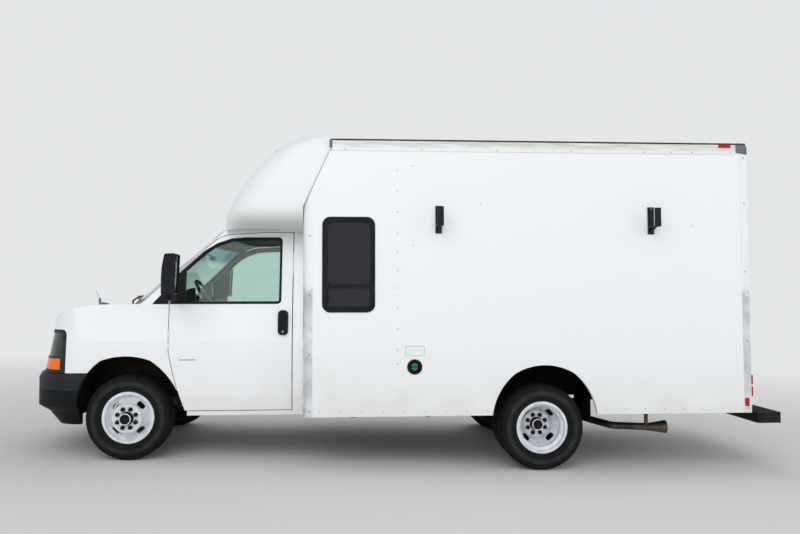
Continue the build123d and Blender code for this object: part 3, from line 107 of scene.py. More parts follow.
def grain(tree, place, shader, scale, strength, distance):
    """A fine bump, scale in grains per metre and distance in metres.

    The real grain is a few tenths of a millimetre; it is drawn 1 to 4 mm apart, so that it shows.
    """
    grains = node(tree, "ShaderNodeTexNoise", Vector=place, Scale=scale, Detail=3)
    bump = node(tree, "ShaderNodeBump", Height=grains, Strength=strength, Distance=distance)
    feed(tree, shader, Normal=bump)


def worn(name, low, high, patches, roughness, metallic=0.0, specular=0.5, coat=0.0, grains=None):
    """A finish between two tones; grains holds the scale, strength and depth of a fine bump."""
    made, tree, shader, place = new_material(name)
    feed(
        tree, shader, Base_Color=mottled(tree, place, low, high, patches), Roughness=roughness,
        Metallic=metallic, Specular_IOR_Level=specular, Coat_Weight=coat,
    )
    if grains:
        grain(tree, place, shader, *grains)
    return made


def dress(slot_material, *names):
    """Gives CAD nodes a finished material in place of the plain one they came with."""
    for name in names:
        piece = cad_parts[name]
        for slot in piece.material_slots:
            slot.material = slot_material


chassis_paint = worn("chassis_paint", "0f1012", "211e1b", 9, 0.62, specular=0.25, grains=(260, 0.25, 0.001))
dress(chassis_paint, "frame_rails", "rear_axle", "leaf_springs", "front_suspension", "fuel_tank")
dress(chassis_paint, "step_bumper", "floor_bearers")

# Engine and gearbox, knuckles and brakes: iron cast in sand and left bare, so it is rough, and dark
# grey with brown rust.
cast_iron = worn("cast_iron", "2c2a29", "4a3c33", 14, 0.7, metallic=0.5, grains=(420, 0.5, 0.0015))
dress(cast_iron, "engine_block", "knuckle_left", "knuckle_right")

# Exhaust: bent pipe and rolled silencer of aluminised steel, welded together, greyed and browned
# by heat.
exhaust_steel = worn("aluminised_steel", "4a4039", "6a6159", 7, 0.45, metallic=0.8, grains=(500, 0.2, 0.0006))
dress(exhaust_steel, "exhaust")

# Wheels: pressed steel rims in silver paint with hand holes, and dark cast hubs with their nuts.
# The paint is bright on the dish and the rim's edge, and the rim is coloured near-black behind the dish,
# where the hand holes look in.
def placed(name, data):
    """A new object in the scene."""
    made = bpy.data.objects.new(name, data)
    bpy.context.scene.collection.objects.link(made)
    return made


def finish_piece(name, body, mesh, material, crease=32):
    """Leans a mesh into place, turns its faces outwards and smooths it below the crease angle."""
    mesh.transform(leaned)
    work = bmesh.new()
    work.from_mesh(mesh)
    bmesh.ops.remove_doubles(work, verts=work.verts, dist=1e-6)
    bmesh.ops.recalc_face_normals(work, faces=work.faces)
    work.to_mesh(mesh)
    work.free()
    piece = placed(name, mesh)
    mesh.materials.clear()
    mesh.materials.append(material)
    mesh.shade_smooth()
    mesh.set_sharp_from_angle(angle=radians(crease))
    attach(piece, body)
    return piece


def mesh_piece(name, body, points, faces, material):
    """A piece from points and faces."""
    mesh = bpy.data.meshes.new(name)
    mesh.from_pydata([tuple(p) for p in points], [], faces)
    return finish_piece(name, body, mesh, material)


def turned(profile, x, z, side, steps):
    """Points and faces of a profile of (distance from the middle, radius) turned about an axle."""
    points = []
    for step in range(steps):
        angle = 2 * pi * step / steps
        points += [(x + r * cos(angle), side * y, z + r * sin(angle)) for y, r in profile]
    count = len(profile)
    faces = []
    for step in range(steps):
        after = (step + 1) % steps
        for k in range(count - 1):
            faces.append((step * count + k, step * count + k + 1, after * count + k + 1, after * count + k))
    faces.append([step * count for step in range(steps)])
    faces.append([step * count + count - 1 for step in range(steps)])
    return points, faces


rim_paint, tree, shader, place = new_material("silver_wheel_paint")
behind_front_dish, behind_rear_dish = 0.897, 0.955
x, y, z = node(tree, "ShaderNodeSeparateXYZ", Vector=place).outputs
rear_share = node(tree, "ShaderNodeMath", {"operation": "GREATER_THAN"}, n_0=x, n_1=0.0)
depth = node(
    tree, "ShaderNodeMath", {"operation": "MULTIPLY_ADD"}, n_0=rear_share,
    n_1=behind_rear_dish - behind_front_dish, n_2=behind_front_dish,
)
apart = node(tree, "ShaderNodeMath", {"operation": "ABSOLUTE"}, n_0=y)
inner = node(tree, "ShaderNodeMath", {"operation": "LESS_THAN"}, n_0=apart, n_1=depth)
silver = mottled(tree, place, "d3d6dd", "eceef3", 18)
tone = node(tree, "ShaderNodeMix", {"data_type": "RGBA"}, n_0=inner, n_6=silver, n_7="141416").outputs[2]
feed(tree, shader, Base_Color=tone, Metallic=0.3, Roughness=0.34)
grain(tree, place, shader, 700, 0.12, 0.0004)
wheel_nodes = ("wheel_front_left", "wheel_front_right", "wheels_rear_left", "wheels_rear_right")
dress(rim_paint, *wheel_nodes)

hub_iron = worn("black_hub_iron", "08090a", "131315", 30, 0.5, specular=0.25)
wheelbase = 3531
rear_axle = (wheelbase * cos(rake), axle_height - wheelbase * sin(rake))
nut_count = 8
nut_circle = 82.55
wheel_faces = (  # (name, body, side, face's distance from the middle, hub's end, x, z)
    ("front_left", "wheel_front_left", -1, 1003, 1059, 0, axle_height),
    ("front_right", "wheel_front_right", 1, 1003, 1059, 0, axle_height),
    ("rear_left", "wheels_rear_left", -1, 979, 1040, *rear_axle),
    ("rear_right", "wheels_rear_right", 1, 979, 1040, *rear_axle),
)
for name, body, side, face, hub_end, x, z in wheel_faces:
    hub_profile = [
        (face - 2, 58), (face + 8, 58), (face + 14, 53), (hub_end - 10, 50.5), (hub_end - 3, 47),
        (hub_end + 1.5, 40), (hub_end + 1.5, 30), (hub_end + 0.7, 28), (hub_end + 0.7, 5),
    ]
    points, faces = turned(hub_profile, x, z, side, 48)
    for k in range(nut_count):
        turn = 2 * pi * (k + 0.5) / nut_count
        nut_x, nut_z = x + nut_circle * cos(turn), z + nut_circle * sin(turn)
        for steps, profile in (
            (24, [(face - 1, 19), (face + 4, 19), (face + 6, 17.5)]),
            (6, [(face + 5, 16), (face + 25, 16), (face + 29, 13)]),
            (16, [(face + 28, 7.5), (face + 34, 7.5), (face + 35, 6)]),
        ):
            more, sides = turned(profile, nut_x, nut_z, side, steps)
            faces += [[index + len(points) for index in item] for item in sides]
            points += more
    hub = mesh_piece(f"hub_and_nuts_{name}", body, points, faces, hub_iron)

# Tyres: 225 mm wide all-season truck tyres. The tread is four ribs of blocks between three grooves,
# the shoulders carry cross slots, and the sidewall has a bead ring, a rim guard and plain raised bands,
# with road dust dried on the band where it flexes.
tyre_rubber, tree, shader, place = new_material("tyre_rubber")
dusty = node(tree, "ShaderNodeAttribute", {"attribute_name": "dust"}).outputs["Fac"]
patches = node(tree, "ShaderNodeTexNoise", Vector=place, Scale=9.0, Detail=5)
film = node(tree, "ShaderNodeMath", {"operation": "MULTIPLY"}, n_0=dusty, n_1=patches)
rubber = mottled(tree, place, "0a0b0c", "131416", 22)
tone = node(tree, "ShaderNodeMix", {"data_type": "RGBA"}, n_0=film, n_6=rubber, n_7="3c3d3c").outputs[2]
feed(tree, shader, Base_Color=tone, Roughness=0.78, Specular_IOR_Level=0.15)
grain(tree, place, shader, 900, 0.3, 0.0005)

slots_round = 64
steps_per_slot = 4
sidewall = [  # (distance from the tyre's middle, radius)
    (81.5, 205.4), (81.5, 219), (84, 223), (92, 224.5), (96, 231), (103, 238), (106, 244), (109.5, 262),
    (110.8, 264), (112, 280), (112.3, 292), (112.3, 300), (110.8, 302), (108.5, 318), (105.5, 328),
    (106.5, 330), (103, 339), (96, 347.5), (87, 354), (80, 357.5),
]
tread = [  # (distance from the middle, radius, how deep the cross slots cut there)
    (72, 359.4, 7), (58, 360.8, 7), (56, 352.5, 0), (49, 352.5, 0), (47, 361.2, 3), (24, 361.8, 3),
    (22, 353, 0), (15, 353, 0), (13, 362, 4), (-13, 362, 4), (-15, 353, 0), (-22, 353, 0), (-24, 361.8, 3),
    (-47, 361.2, 3), (-49, 352.5, 0), (-56, 352.5, 0), (-58, 360.8, 7), (-72, 359.4, 7),
]
shoulder_radius, shoulder_cut = 340, 6
flank = [(y, r, shoulder_cut if r > shoulder_radius else 0) for y, r in sidewall]
tyre_rows = flank + tread + [(-y, r, cut) for y, r, cut in reversed(flank)]
tyre_rows += [(-66, 205.4, 0), (-84, 262, 0), (0, 344, 0), (84, 262, 0), (66, 205.4, 0)]
tyre_sets = (  # (name, body, CAD node, the tyres' middles, x, z)
    ("front_left", "wheel_front_left", "tyre_front_left", (-876,), 0, axle_height),
    ("front_right", "wheel_front_right", "tyre_front_right", (876,), 0, axle_height),
    ("rear_left", "wheels_rear_left", "tyres_rear_left", (-1094, -840), *rear_axle),
    ("rear_right", "wheels_rear_right", "tyres_rear_right", (1094, 840), *rear_axle),
)
for name, body, cad_node, middles, x, z in tyre_sets:
    points, faces, dust = [], [], []
    steps = slots_round * steps_per_slot
    count = len(tyre_rows)
    for middle in middles:
        first = len(points)
        for step in range(steps):
            for y, r, cut in tyre_rows:
                phase = (step + (2 if y < 0 else 0) + int(abs(y) / 30)) % steps_per_slot
                radius = r - (cut if phase == 0 else 0)
                angle = 2 * pi * step / steps
                points.append((x + radius * cos(angle), middle + y, z + radius * sin(angle)))
                dust.append(1.0 if 270 < r < 310 and abs(y) > 90 else 0.2)
        for step in range(steps):
            after = (step + 1) % steps
            for k in range(count):
                k1 = (k + 1) % count
                faces.append((
                    first + step * count + k,
                    first + step * count + k1,
                    first + after * count + k1,
                    first + after * count + k,
                ))
    mesh = bpy.data.meshes.new(f"tyre_and_tread_{name}")
    mesh.from_pydata(points, [], faces)
    mesh.attributes.new("dust", "FLOAT", "POINT").data.foreach_set("value", dust)
    tyre = finish_piece(f"tyre_and_tread_{name}", body, mesh, tyre_rubber)
    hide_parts(cad_node)

# Cab and nose: pressed steel under white two-pack paint with a clear coat, lightly filmed with dust
# low down. Inside, grey moulded trim, a fleece roof lining and a rubber mat cover the same sheet.
def level_place(tree, place):
    """The place on the vehicle as if it stood level, in metres from the front axle and the ground line."""
    back = Matrix.Rotation(rake, 4, "Y") @ Matrix.Translation((-middle_x, 0, -tyre_radius / 1000))
    shift = Matrix.Translation((0, 0, axle_height / 1000)) @ back
    level = node(tree, "ShaderNodeMapping", Vector=place, Location=shift.translation, Rotation=(0, rake, 0))
    return node(tree, "ShaderNodeSeparateXYZ", Vector=level.outputs[0]).outputs


cab_sides = ((372, 985), (530, 1003), (1000, 1005), (1320, 975), (1950, 862))


def cab_half(z):
    """Half the cab's width at a height."""
    for (z0, y0), (z1, y1) in zip(cab_sides, cab_sides[1:]):
        if z <= z1:
            break
    return y0 + (y1 - y0) * (z - z0) / (z1 - z0)


def inside_cab(tree, place):
    """1 where the cab's sheet faces the seats and 0 outside, and the height."""
    x, y, z = level_place(tree, place)
    lean, half_at_ground, sheet = -0.1794, 1.2118, 0.012
    widest, firewall_x, roof_z, floor_z = 0.98, 0.262, 1.982, 0.66
    half = node(
        tree, "ShaderNodeMath", {"operation": "MULTIPLY_ADD"}, n_0=z, n_1=lean, n_2=half_at_ground - sheet
    )
    half = node(tree, "ShaderNodeMath", {"operation": "MINIMUM"}, n_0=half, n_1=widest)
    apart = node(tree, "ShaderNodeMath", {"operation": "ABSOLUTE"}, n_0=y)
    within = node(tree, "ShaderNodeMath", {"operation": "LESS_THAN"}, n_0=apart, n_1=half)
    for outcome in (
        node(tree, "ShaderNodeMath", {"operation": "GREATER_THAN"}, n_0=x, n_1=firewall_x),
        node(tree, "ShaderNodeMath", {"operation": "LESS_THAN"}, n_0=z, n_1=roof_z),
        node(tree, "ShaderNodeMath", {"operation": "GREATER_THAN"}, n_0=z, n_1=floor_z),
    ):
        within = node(tree, "ShaderNodeMath", {"operation": "MULTIPLY"}, n_0=within, n_1=outcome)
    return within, z


def white_paint(name, clean, dusty, roughness, coat, ripple, trimmed=False):
    """White coachwork paint that is dustier towards the ground, and trim where it faces the seats."""
    made, tree, shader, place = new_material(name)
    height = node(tree, "ShaderNodeSeparateXYZ", Vector=place).outputs["Z"]
    dusty_z, clean_z, thickest = 0.35, 1.0, 0.85
    film = node(
        tree, "ShaderNodeMapRange", Value=height, From_Min=dusty_z, From_Max=clean_z, To_Min=thickest,
        To_Max=0.0,
    )
    patches = node(tree, "ShaderNodeTexNoise", Vector=place, Scale=3.5, Detail=6)
    share = node(tree, "ShaderNodeMath", {"operation": "MULTIPLY"}, n_0=film, n_1=patches)
    colour = node(tree, "ShaderNodeMix", {"data_type": "RGBA"}, n_0=share, n_6=clean, n_7=dusty).outputs[2]
    feed(tree, shader, Roughness=roughness, Coat_Weight=coat, Coat_Roughness=0.06)
    if trimmed:
        within, z = inside_cab(tree, place)
        lining_z, mat_z = 1.9, 0.72
        trim = mottled(tree, place, "1d2024", "26292e", 40)
        lining = mottled(tree, place, "454b55", "50565f", 300)
        mat = mottled(tree, place, "1d1e20", "2a2a2b", 60)
        overhead = node(tree, "ShaderNodeMath", {"operation": "GREATER_THAN"}, n_0=z, n_1=lining_z)
        underfoot = node(tree, "ShaderNodeMath", {"operation": "LESS_THAN"}, n_0=z, n_1=mat_z)
        for share, finish in ((overhead, lining), (underfoot, mat)):
            mix = node(tree, "ShaderNodeMix", {"data_type": "RGBA"}, n_0=share, n_6=trim, n_7=finish)
            trim = mix.outputs[2]
        mix = node(tree, "ShaderNodeMix", {"data_type": "RGBA"}, n_0=within, n_6=colour, n_7=trim)
        colour = mix.outputs[2]
        feed(
            tree, shader,
            Roughness=node(tree, "ShaderNodeMapRange", Value=within, To_Min=roughness, To_Max=0.8),
            Coat_Weight=node(tree, "ShaderNodeMapRange", Value=within, To_Min=coat, To_Max=0.0),
        )
    waves = node(tree, "ShaderNodeTexNoise", Vector=place, Scale=ripple, Detail=1)
    bump = node(tree, "ShaderNodeBump", Height=waves, Strength=0.12, Distance=0.0006)
    feed(tree, shader, Base_Color=colour, Normal=bump)
    return made


cab_paint = white_paint("cab_white_paint", "eef0f3", "cfccc4", 0.32, 0.6, 120, trimmed=True)
dress(cab_paint, "cab_shell", "door_left", "door_right")
nose_paint = white_paint("nose_white_paint", "eef0f3", "cfccc4", 0.32, 0.6, 120)
dress(nose_paint, "front_wings", "bonnet")

# Windscreen and door glass: green-tinted laminated and toughened glass. The screen has a black ceramic
# band fired on all round its edge and a blue shade band across its top.
screen_low_z, screen_low_half = 1.316, 0.942
screen_high_z, screen_high_half = 1.935, 0.805
cab_glass, tree, shader, place = new_material("green_tinted_glass")
x, y, z = level_place(tree, place)
taper = (screen_high_half - screen_low_half) / (screen_high_z - screen_low_z)
side_band, foot_band, head_band = 0.052, 0.055, 0.052
edge_half = node(
    tree, "ShaderNodeMath", {"operation": "MULTIPLY_ADD"}, n_0=z, n_1=taper,
    n_2=screen_low_half - side_band - taper * screen_low_z,
)
apart = node(tree, "ShaderNodeMath", {"operation": "ABSOLUTE"}, n_0=y)
band = node(tree, "ShaderNodeMath", {"operation": "GREATER_THAN"}, n_0=apart, n_1=edge_half)
for operation, bound in (
    ("LESS_THAN", screen_low_z + foot_band),
    ("GREATER_THAN", screen_high_z - head_band),
):
    past = node(tree, "ShaderNodeMath", {"operation": operation}, n_0=z, n_1=bound)
    band = node(tree, "ShaderNodeMath", {"operation": "MAXIMUM"}, n_0=band, n_1=past)
shade_starts, shade_full = 1.74, 1.8
shade = node(tree, "ShaderNodeMapRange", Value=z, From_Min=shade_starts, From_Max=shade_full)
tint = node(tree, "ShaderNodeMix", {"data_type": "RGBA"}, n_0=shade, n_6="d0e8e0", n_7="4a8ea2").outputs[2]
tone = node(tree, "ShaderNodeMix", {"data_type": "RGBA"}, n_0=band, n_6=tint, n_7="0c0d0f").outputs[2]
clear = node(tree, "ShaderNodeMath", {"operation": "SUBTRACT"}, n_0=1.0, n_1=band)
gloss = node(tree, "ShaderNodeMath", {"operation": "MULTIPLY_ADD"}, n_0=clear, n_1=0.46, n_2=0.04)
feed(
    tree, shader, Base_Color=tone, Transmission_Weight=clear, Specular_IOR_Level=gloss, Roughness=0.02,
    IOR=1.5,
)
dress(cab_glass, "windscreen")

door_glass, tree, shader, place = new_material("toughened_door_glass")
feed(tree, shader, Base_Color="d4ebe3", Roughness=0.02, IOR=1.5, Transmission_Weight=1.0)
dress(door_glass, "door_glass_left", "door_glass_right")

# Bumper, grille, cowl, mirrors, handles and liners: grained polypropylene, moulded in dark grey or
# black. The bumper's lower half is a darker moulding of its own.
def moulded_plastic(name, low, high, roughness, grains, depth):
    """Grained moulded plastic with a slight drift of tone where it has weathered."""
    return worn(name, low, high, 6, roughness, specular=0.2, grains=(grains, 0.35, depth))


def opened(made):
    """The tree, shader, place and level place of a finish, to add to it."""
    tree = made.node_tree
    place = node(tree, "ShaderNodeTexCoord").outputs["Object"]
    return tree, tree.nodes["Principled BSDF"], place, level_place(tree, place)


def laid_over(tree, shader, share, colour):
    """Lays a colour over part of a finish."""
    under = shader.inputs["Base Color"].links[0].from_socket
    mix = node(tree, "ShaderNodeMix", {"data_type": "RGBA"}, n_0=share, n_6=under, n_7=colour)
    feed(tree, shader, Base_Color=mix.outputs[2])


bumper_plastic = moulded_plastic("bumper_plastic", "1d2026", "262a31", 0.55, 900, 0.0005)
tree, shader, place, (x, y, z) = opened(bumper_plastic)
moulding_split = 0.59
lower_half = node(tree, "ShaderNodeMath", {"operation": "LESS_THAN"}, n_0=z, n_1=moulding_split)
laid_over(tree, shader, lower_half, mottled(tree, place, "08090b", "0e0f12", 6))
lamp_panel_plastic = moulded_plastic("lamp_panel_plastic", "222528", "2b2e32", 0.5, 900, 0.0004)
black_plastic = moulded_plastic("black_plastic", "101215", "191b1f", 0.5, 1100, 0.0004)
liner_plastic = moulded_plastic("liner_plastic", "060708", "0e0e10", 0.8, 500, 0.001)
dress(bumper_plastic, "front_bumper")
dress(lamp_panel_plastic, "grille")
dress(black_plastic, "cowl", "door_fittings_left", "door_fittings_right", "side_window_frames", "fuel_filler")
dress(black_plastic, "pillar_covers", "filler_hose")
dress(liner_plastic, "wheel_liners", "wheel_boxes")

# Lamps: clear polycarbonate moulded over dark bowls, which looks smoked, and amber and red acrylic
# with fine upright ribs inside, clipped into the nose and screwed to the rear posts.
smoked_lens, tree, shader, place = new_material("headlamp_lens")
flutes = node(tree, "ShaderNodeTexWave", {"bands_direction": "Y"}, Vector=place, Scale=28.0).outputs["Fac"]
mix = node(tree, "ShaderNodeMix", {"data_type": "RGBA"}, n_0=flutes, n_6="15191b", n_7="24292c")
feed(tree, shader, Base_Color=mix.outputs[2], Roughness=0.08)
dress(smoked_lens, "headlamps")
for lens_name, colour, deep, nodes in (
    ("amber_lens", "ff7a08", "f56a00", ("turn_lamps",)),
    ("red_lens", "b5161a", "8c0f13", ("red_lamps",)),
):
    lens, tree, shader, place = new_material(lens_name)
    ribs = node(tree, "ShaderNodeTexWave", {"bands_direction": "Y"}, Vector=place, Scale=45.0).outputs["Fac"]
    mix = node(tree, "ShaderNodeMix", {"data_type": "RGBA"}, n_0=ribs, n_6=colour, n_7=deep)
    feed(tree, shader, Base_Color=mix.outputs[2], Roughness=0.25, Specular_IOR_Level=0.3)
    dress(lens, *nodes)
amber_lens = bpy.data.materials["amber_lens"]

# Aerial: a grey moulded foot screwed to the left wing with a short post on it, which holds a thin
# whip of drawn stainless steel.
def from_work(name, work):
    """The mesh of an edited shape."""
    mesh = bpy.data.meshes.new(name)
    work.to_mesh(mesh)
    work.free()
    return mesh


def shaped(name, body, parts, bevel, material, side=1, both=False, segments=2):
    """Prisms with rounded edges; a part is an outline, its start and end, and the axis it runs on."""
    work = bmesh.new()
    for outline, start, end, axis in parts:
        ends = []
        for t in (start, end):
            at = "xyz".index(axis)
            ends.append([work.verts.new((*spot[:at], t, *spot[at:])) for spot in outline])
        count = len(outline)
        for k in range(count):
            after = (k + 1) % count
            work.faces.new((ends[0][k], ends[0][after], ends[1][after], ends[1][k]))
        work.faces.new(ends[0])
        work.faces.new(ends[1][::-1])
    if bevel:
        bmesh.ops.bevel(
            work, geom=list(work.edges), offset=bevel, segments=segments, affect="EDGES",
            profile=0.5, clamp_overlap=True,
        )
    if both:
        copied = bmesh.ops.duplicate(work, geom=work.verts[:] + work.edges[:] + work.faces[:])
        for item in copied["geom"]:
            if isinstance(item, bmesh.types.BMVert):
                item.co.y = -item.co.y
    for vert in work.verts:
        vert.co.y *= side
    return finish_piece(name, body, from_work(name, work), material, 40)


def settled(made):
    """The mesh an object has with its curve or modifiers carried out; the object goes."""
    mesh = bpy.data.meshes.new_from_object(made.evaluated_get(bpy.context.evaluated_depsgraph_get()))
    bpy.data.objects.remove(made)
    return mesh


def rods(name, body, paths, radius, material, side=1):
    """Round bars that follow the given points."""
    data = bpy.data.curves.new(name, "CURVE")
    data.dimensions = "3D"
    data.bevel_depth = radius
    data.bevel_resolution = 3
    data.use_fill_caps = True
    for path in paths:
        line = data.splines.new("POLY")
        line.points.add(len(path) - 1)
        for point, spot in zip(line.points, path):
            point.co = (spot[0], side * spot[1], spot[2], 1)
    return finish_piece(name, body, settled(placed(name, data)), material, 50)


aerial_half = 820
aerial_foot = [(-312, 1305), (-310, 1326), (-296, 1340), (-272, 1341), (-226, 1333), (-218, 1314)]
grey_moulding = moulded_plastic("grey_moulding", "5d6266", "6c7175", 0.45, 900, 0.0003)
shaped("aerial_foot", "chassis", [
    (aerial_foot, -aerial_half - 13, -aerial_half + 13, "y"),
    ([(-310, 1336), (-290, 1338), (-293, 1378), (-309, 1378)], -aerial_half - 9, -aerial_half + 9, "y"),
], 4, grey_moulding)
stainless = worn("brushed_stainless_steel", "8d9093", "a9acae", 120, 0.32, metallic=1.0)
whip = [(-301, -aerial_half, 1376), (-316, -aerial_half, 1400), (-331, -aerial_half, 1438)]
rods("aerial_whip", "chassis", [whip], 2.2, stainless)

# Wipers: two pressed-steel arms in black paint, hinged at the cowl, each holding a rubber blade that
# lies on the foot of the screen, whose face bows forward less towards its head.
screen_foot_z, screen_rise, screen_lean = 1290, 945, radians(38.6)
foot_x, foot_bow, head_x, head_bow = -221.3, 1800, 962.5, 3000


def on_screen(y, z, off):
    """A point that stands off the windscreen's face."""
    share = (z - screen_foot_z) / screen_rise
    low = foot_x + foot_bow - sqrt(foot_bow**2 - y**2)
    high = head_x + head_bow - sqrt(head_bow**2 - y**2)
    return (low + (high - low) * share - off * sin(screen_lean), y, z + off * cos(screen_lean))


wiper_reach = (("left", -700, -330, -60), ("right", 30, 400, 680))
for name, pivot, elbow, tip in wiper_reach:
    blade = [(pivot + (tip - pivot) * step / 5, 1362 + 34 * step / 5) for step in range(6)]
    rods(f"wiper_blade_{name}", "chassis", [[on_screen(y, z, off) for y, z in blade] for off in (6, 13)],
         4.5, black_plastic)
    arm = ((pivot, 1322, 14), (pivot + 30, 1332, 27), (elbow, 1372, 26), ((elbow + tip) / 2, 1384, 18))
    rods(f"wiper_arm_{name}", "chassis", [[on_screen(*spot) for spot in arm]], 8, black_plastic)
across_screen = [-880 + 110 * k for k in range(17)]
rods("screen_foot_seal", "chassis", [[on_screen(y, 1312, 8) for y in across_screen]], 7, black_plastic)

# Rivets, screws and knobs: turned or cold-headed metal and moulded plastic. Each is one low dome, set
# on a marked point and turned to face outwards.
def stud_tree():
    """The rule that sets a dome on every point of a mesh."""
    tree = bpy.data.node_groups.new("studs", "GeometryNodeTree")
    for socket, kind, way in (
        ("Geometry", "Geometry", "INPUT"), ("Radius", "Float", "INPUT"), ("Height", "Float", "INPUT"),
        ("Facing", "Vector", "INPUT"), ("Finish", "Material", "INPUT"), ("Geometry", "Geometry", "OUTPUT"),
    ):
        tree.interface.new_socket(socket, in_out=way, socket_type=f"NodeSocket{kind}")
    given = node(tree, "NodeGroupInput").outputs
    dome = node(tree, "GeometryNodeMeshUVSphere", Segments=12, Rings=6, Radius=1.0).outputs[0]
    radius, height = given["Radius"], given["Height"]
    size = node(tree, "ShaderNodeCombineXYZ", X=radius, Y=radius, Z=height).outputs[0]
    upright = {"axis": "Z"}
    facing = node(tree, "FunctionNodeAlignRotationToVector", upright, Vector=given["Facing"]).outputs[0]
    points = node(tree, "GeometryNodeMeshToPoints", Mesh=given["Geometry"]).outputs[0]
    studs = node(
        tree, "GeometryNodeInstanceOnPoints", Points=points, Instance=dome, Rotation=facing, Scale=size
    ).outputs[0]
    solid = node(tree, "GeometryNodeRealizeInstances", Geometry=studs).outputs[0]
    coated = node(tree, "GeometryNodeSetMaterial", Geometry=solid, Material=given["Finish"]).outputs[0]
    tree.links.new(coated, node(tree, "NodeGroupOutput").inputs[0])
    return tree


studs_rule = stud_tree()


def studded(name, body, spots, radius, height, facing, material):
    """One mesh of domes on the given points."""
    mesh = bpy.data.meshes.new(name)
    mesh.from_pydata(spots, [], [])
    made = placed(name, mesh)
    rule = made.modifiers.new("studs", "NODES")
    rule.node_group = studs_rule
    values = {"Radius": radius, "Height": height, "Facing": facing, "Finish": material}
    for item in studs_rule.interface.items_tree:
        if item.in_out == "INPUT" and item.name in values:
            rule[item.identifier] = values[item.name]
    return finish_piece(name, body, settled(made), material, 60)


# Door furniture: a plain grey badge bar, the pull in the handle's cup with its key lock, and mirror
# glass in each mirror's head. Each is stuck or clipped to the door's skin and follows its lean.
def oblong(u0, u1, v0, v1):
    """The four corners of an oblong outline."""
    return [(u0, v0), (u1, v0), (u1, v1), (u0, v1)]


def rounded(outline, radius, steps=4):
    """The outline with each corner turned into an arc that meets both its sides."""
    points = []
    count = len(outline)
    for k in range(count):
        here = Vector(outline[k])
        before, after = Vector(outline[k - 1]) - here, Vector(outline[(k + 1) % count]) - here
        angle = before.angle(after)
        if angle > 3.1:
            points.append(tuple(here))
            continue
        reach = min(radius / tan(angle / 2), 0.45 * min(before.length, after.length))
        before.normalize()
        after.normalize()
        centre = here + (before + after).normalized() * reach / cos(angle / 2)
        first, last = here + before * reach - centre, here + after * reach - centre
        for step in range(steps + 1):
            points.append(tuple(centre + first.slerp(last, step / steps)))
    return points


def side_panel(name, body, loops, inset, gauge, material, side):
    """A thin panel that lies on the cab's side, from an outline of (x, z) and its holes."""
    work = bmesh.new()
    edges = []
    for loop in loops:
        corners = [work.verts.new((x, 0, z)) for x, z in loop]
        edges += [work.edges.new((corners[k - 1], corners[k])) for k in range(len(corners))]
    bmesh.ops.triangle_fill(work, use_beauty=True, edges=edges)
    for z, half in cab_sides[1:-1]:
        everything = work.verts[:] + work.edges[:] + work.faces[:]
        bmesh.ops.bisect_plane(work, geom=everything, plane_co=(0, 0, z), plane_no=(0, 0, 1))
    made = bmesh.ops.extrude_face_region(work, geom=work.faces[:], use_keep_orig=True)
    inner = {item for item in made["geom"] if isinstance(item, bmesh.types.BMVert)}
    for vert in work.verts:
        vert.co.y = side * (cab_half(vert.co.z) - inset - (gauge if vert in inner else 0))
    return finish_piece(name, body, from_work(name, work), material)


mirror_silver, tree, shader, place = new_material("silvered_mirror_glass")
smears = node(tree, "ShaderNodeTexNoise", Vector=place, Scale=25.0, Detail=4)
polish = node(tree, "ShaderNodeMapRange", Value=smears, To_Min=0.02, To_Max=0.07)
feed(tree, shader, Base_Color="7c8286", Metallic=1.0, Roughness=polish)
door_trim = moulded_plastic("grey_door_trim", "43464c", "4c4f55", 0.65, 600, 0.0005)
trim_outline = rounded([(440, 480), (1356, 480), (1356, 1312), (372, 1312), (372, 960), (395, 720)], 45)
badge_outline = rounded(oblong(427, 570, 842, 852), 3)
pull_outline = rounded(oblong(1286, 1337, 1110, 1254), 16)
lock_x, lock_z = 1312, 1085
lock_face = cab_half(lock_z) + 17
lock_profile = [(lock_face, 10), (lock_face + 3, 10), (lock_face + 4, 8.5), (lock_face + 4, 2)]
for name, side in (("left", -1), ("right", 1)):
    body = f"door_{name}"
    side_panel(f"badge_bar_{name}", body, [badge_outline], -2.2, 2, grey_moulding, side)
    side_panel(f"handle_pull_{name}", body, [pull_outline], -23, 6, black_plastic, side)
    points, faces = turned(lock_profile, lock_x, lock_z, side, 24)
    mesh_piece(f"key_lock_{name}", body, points, faces, stainless)
    shaped(f"mirror_glass_{name}", body, [
        ([(463, 1424), (468, 1424), (481, 1715), (476, 1715)], 1257, 1408, "y"),
    ], 2, mirror_silver, side=side)
    side_panel(f"door_trim_{name}", body, [trim_outline], 60.3, 7, door_trim, side)
    shaped(f"armrest_{name}", body, [
        (rounded([(560, 950), (1180, 950), (1215, 1000), (1200, 1042), (600, 1050)], 18), 868, 934, "y"),
    ], 9, door_trim, side=side, segments=3)
    rods(f"door_pull_{name}", body, [[
        (1230, 932, 1120), (1210, 905, 1132), (1120, 900, 1140), (1040, 905, 1132), (1020, 932, 1120),
    ]], 9, black_plastic, side=side)

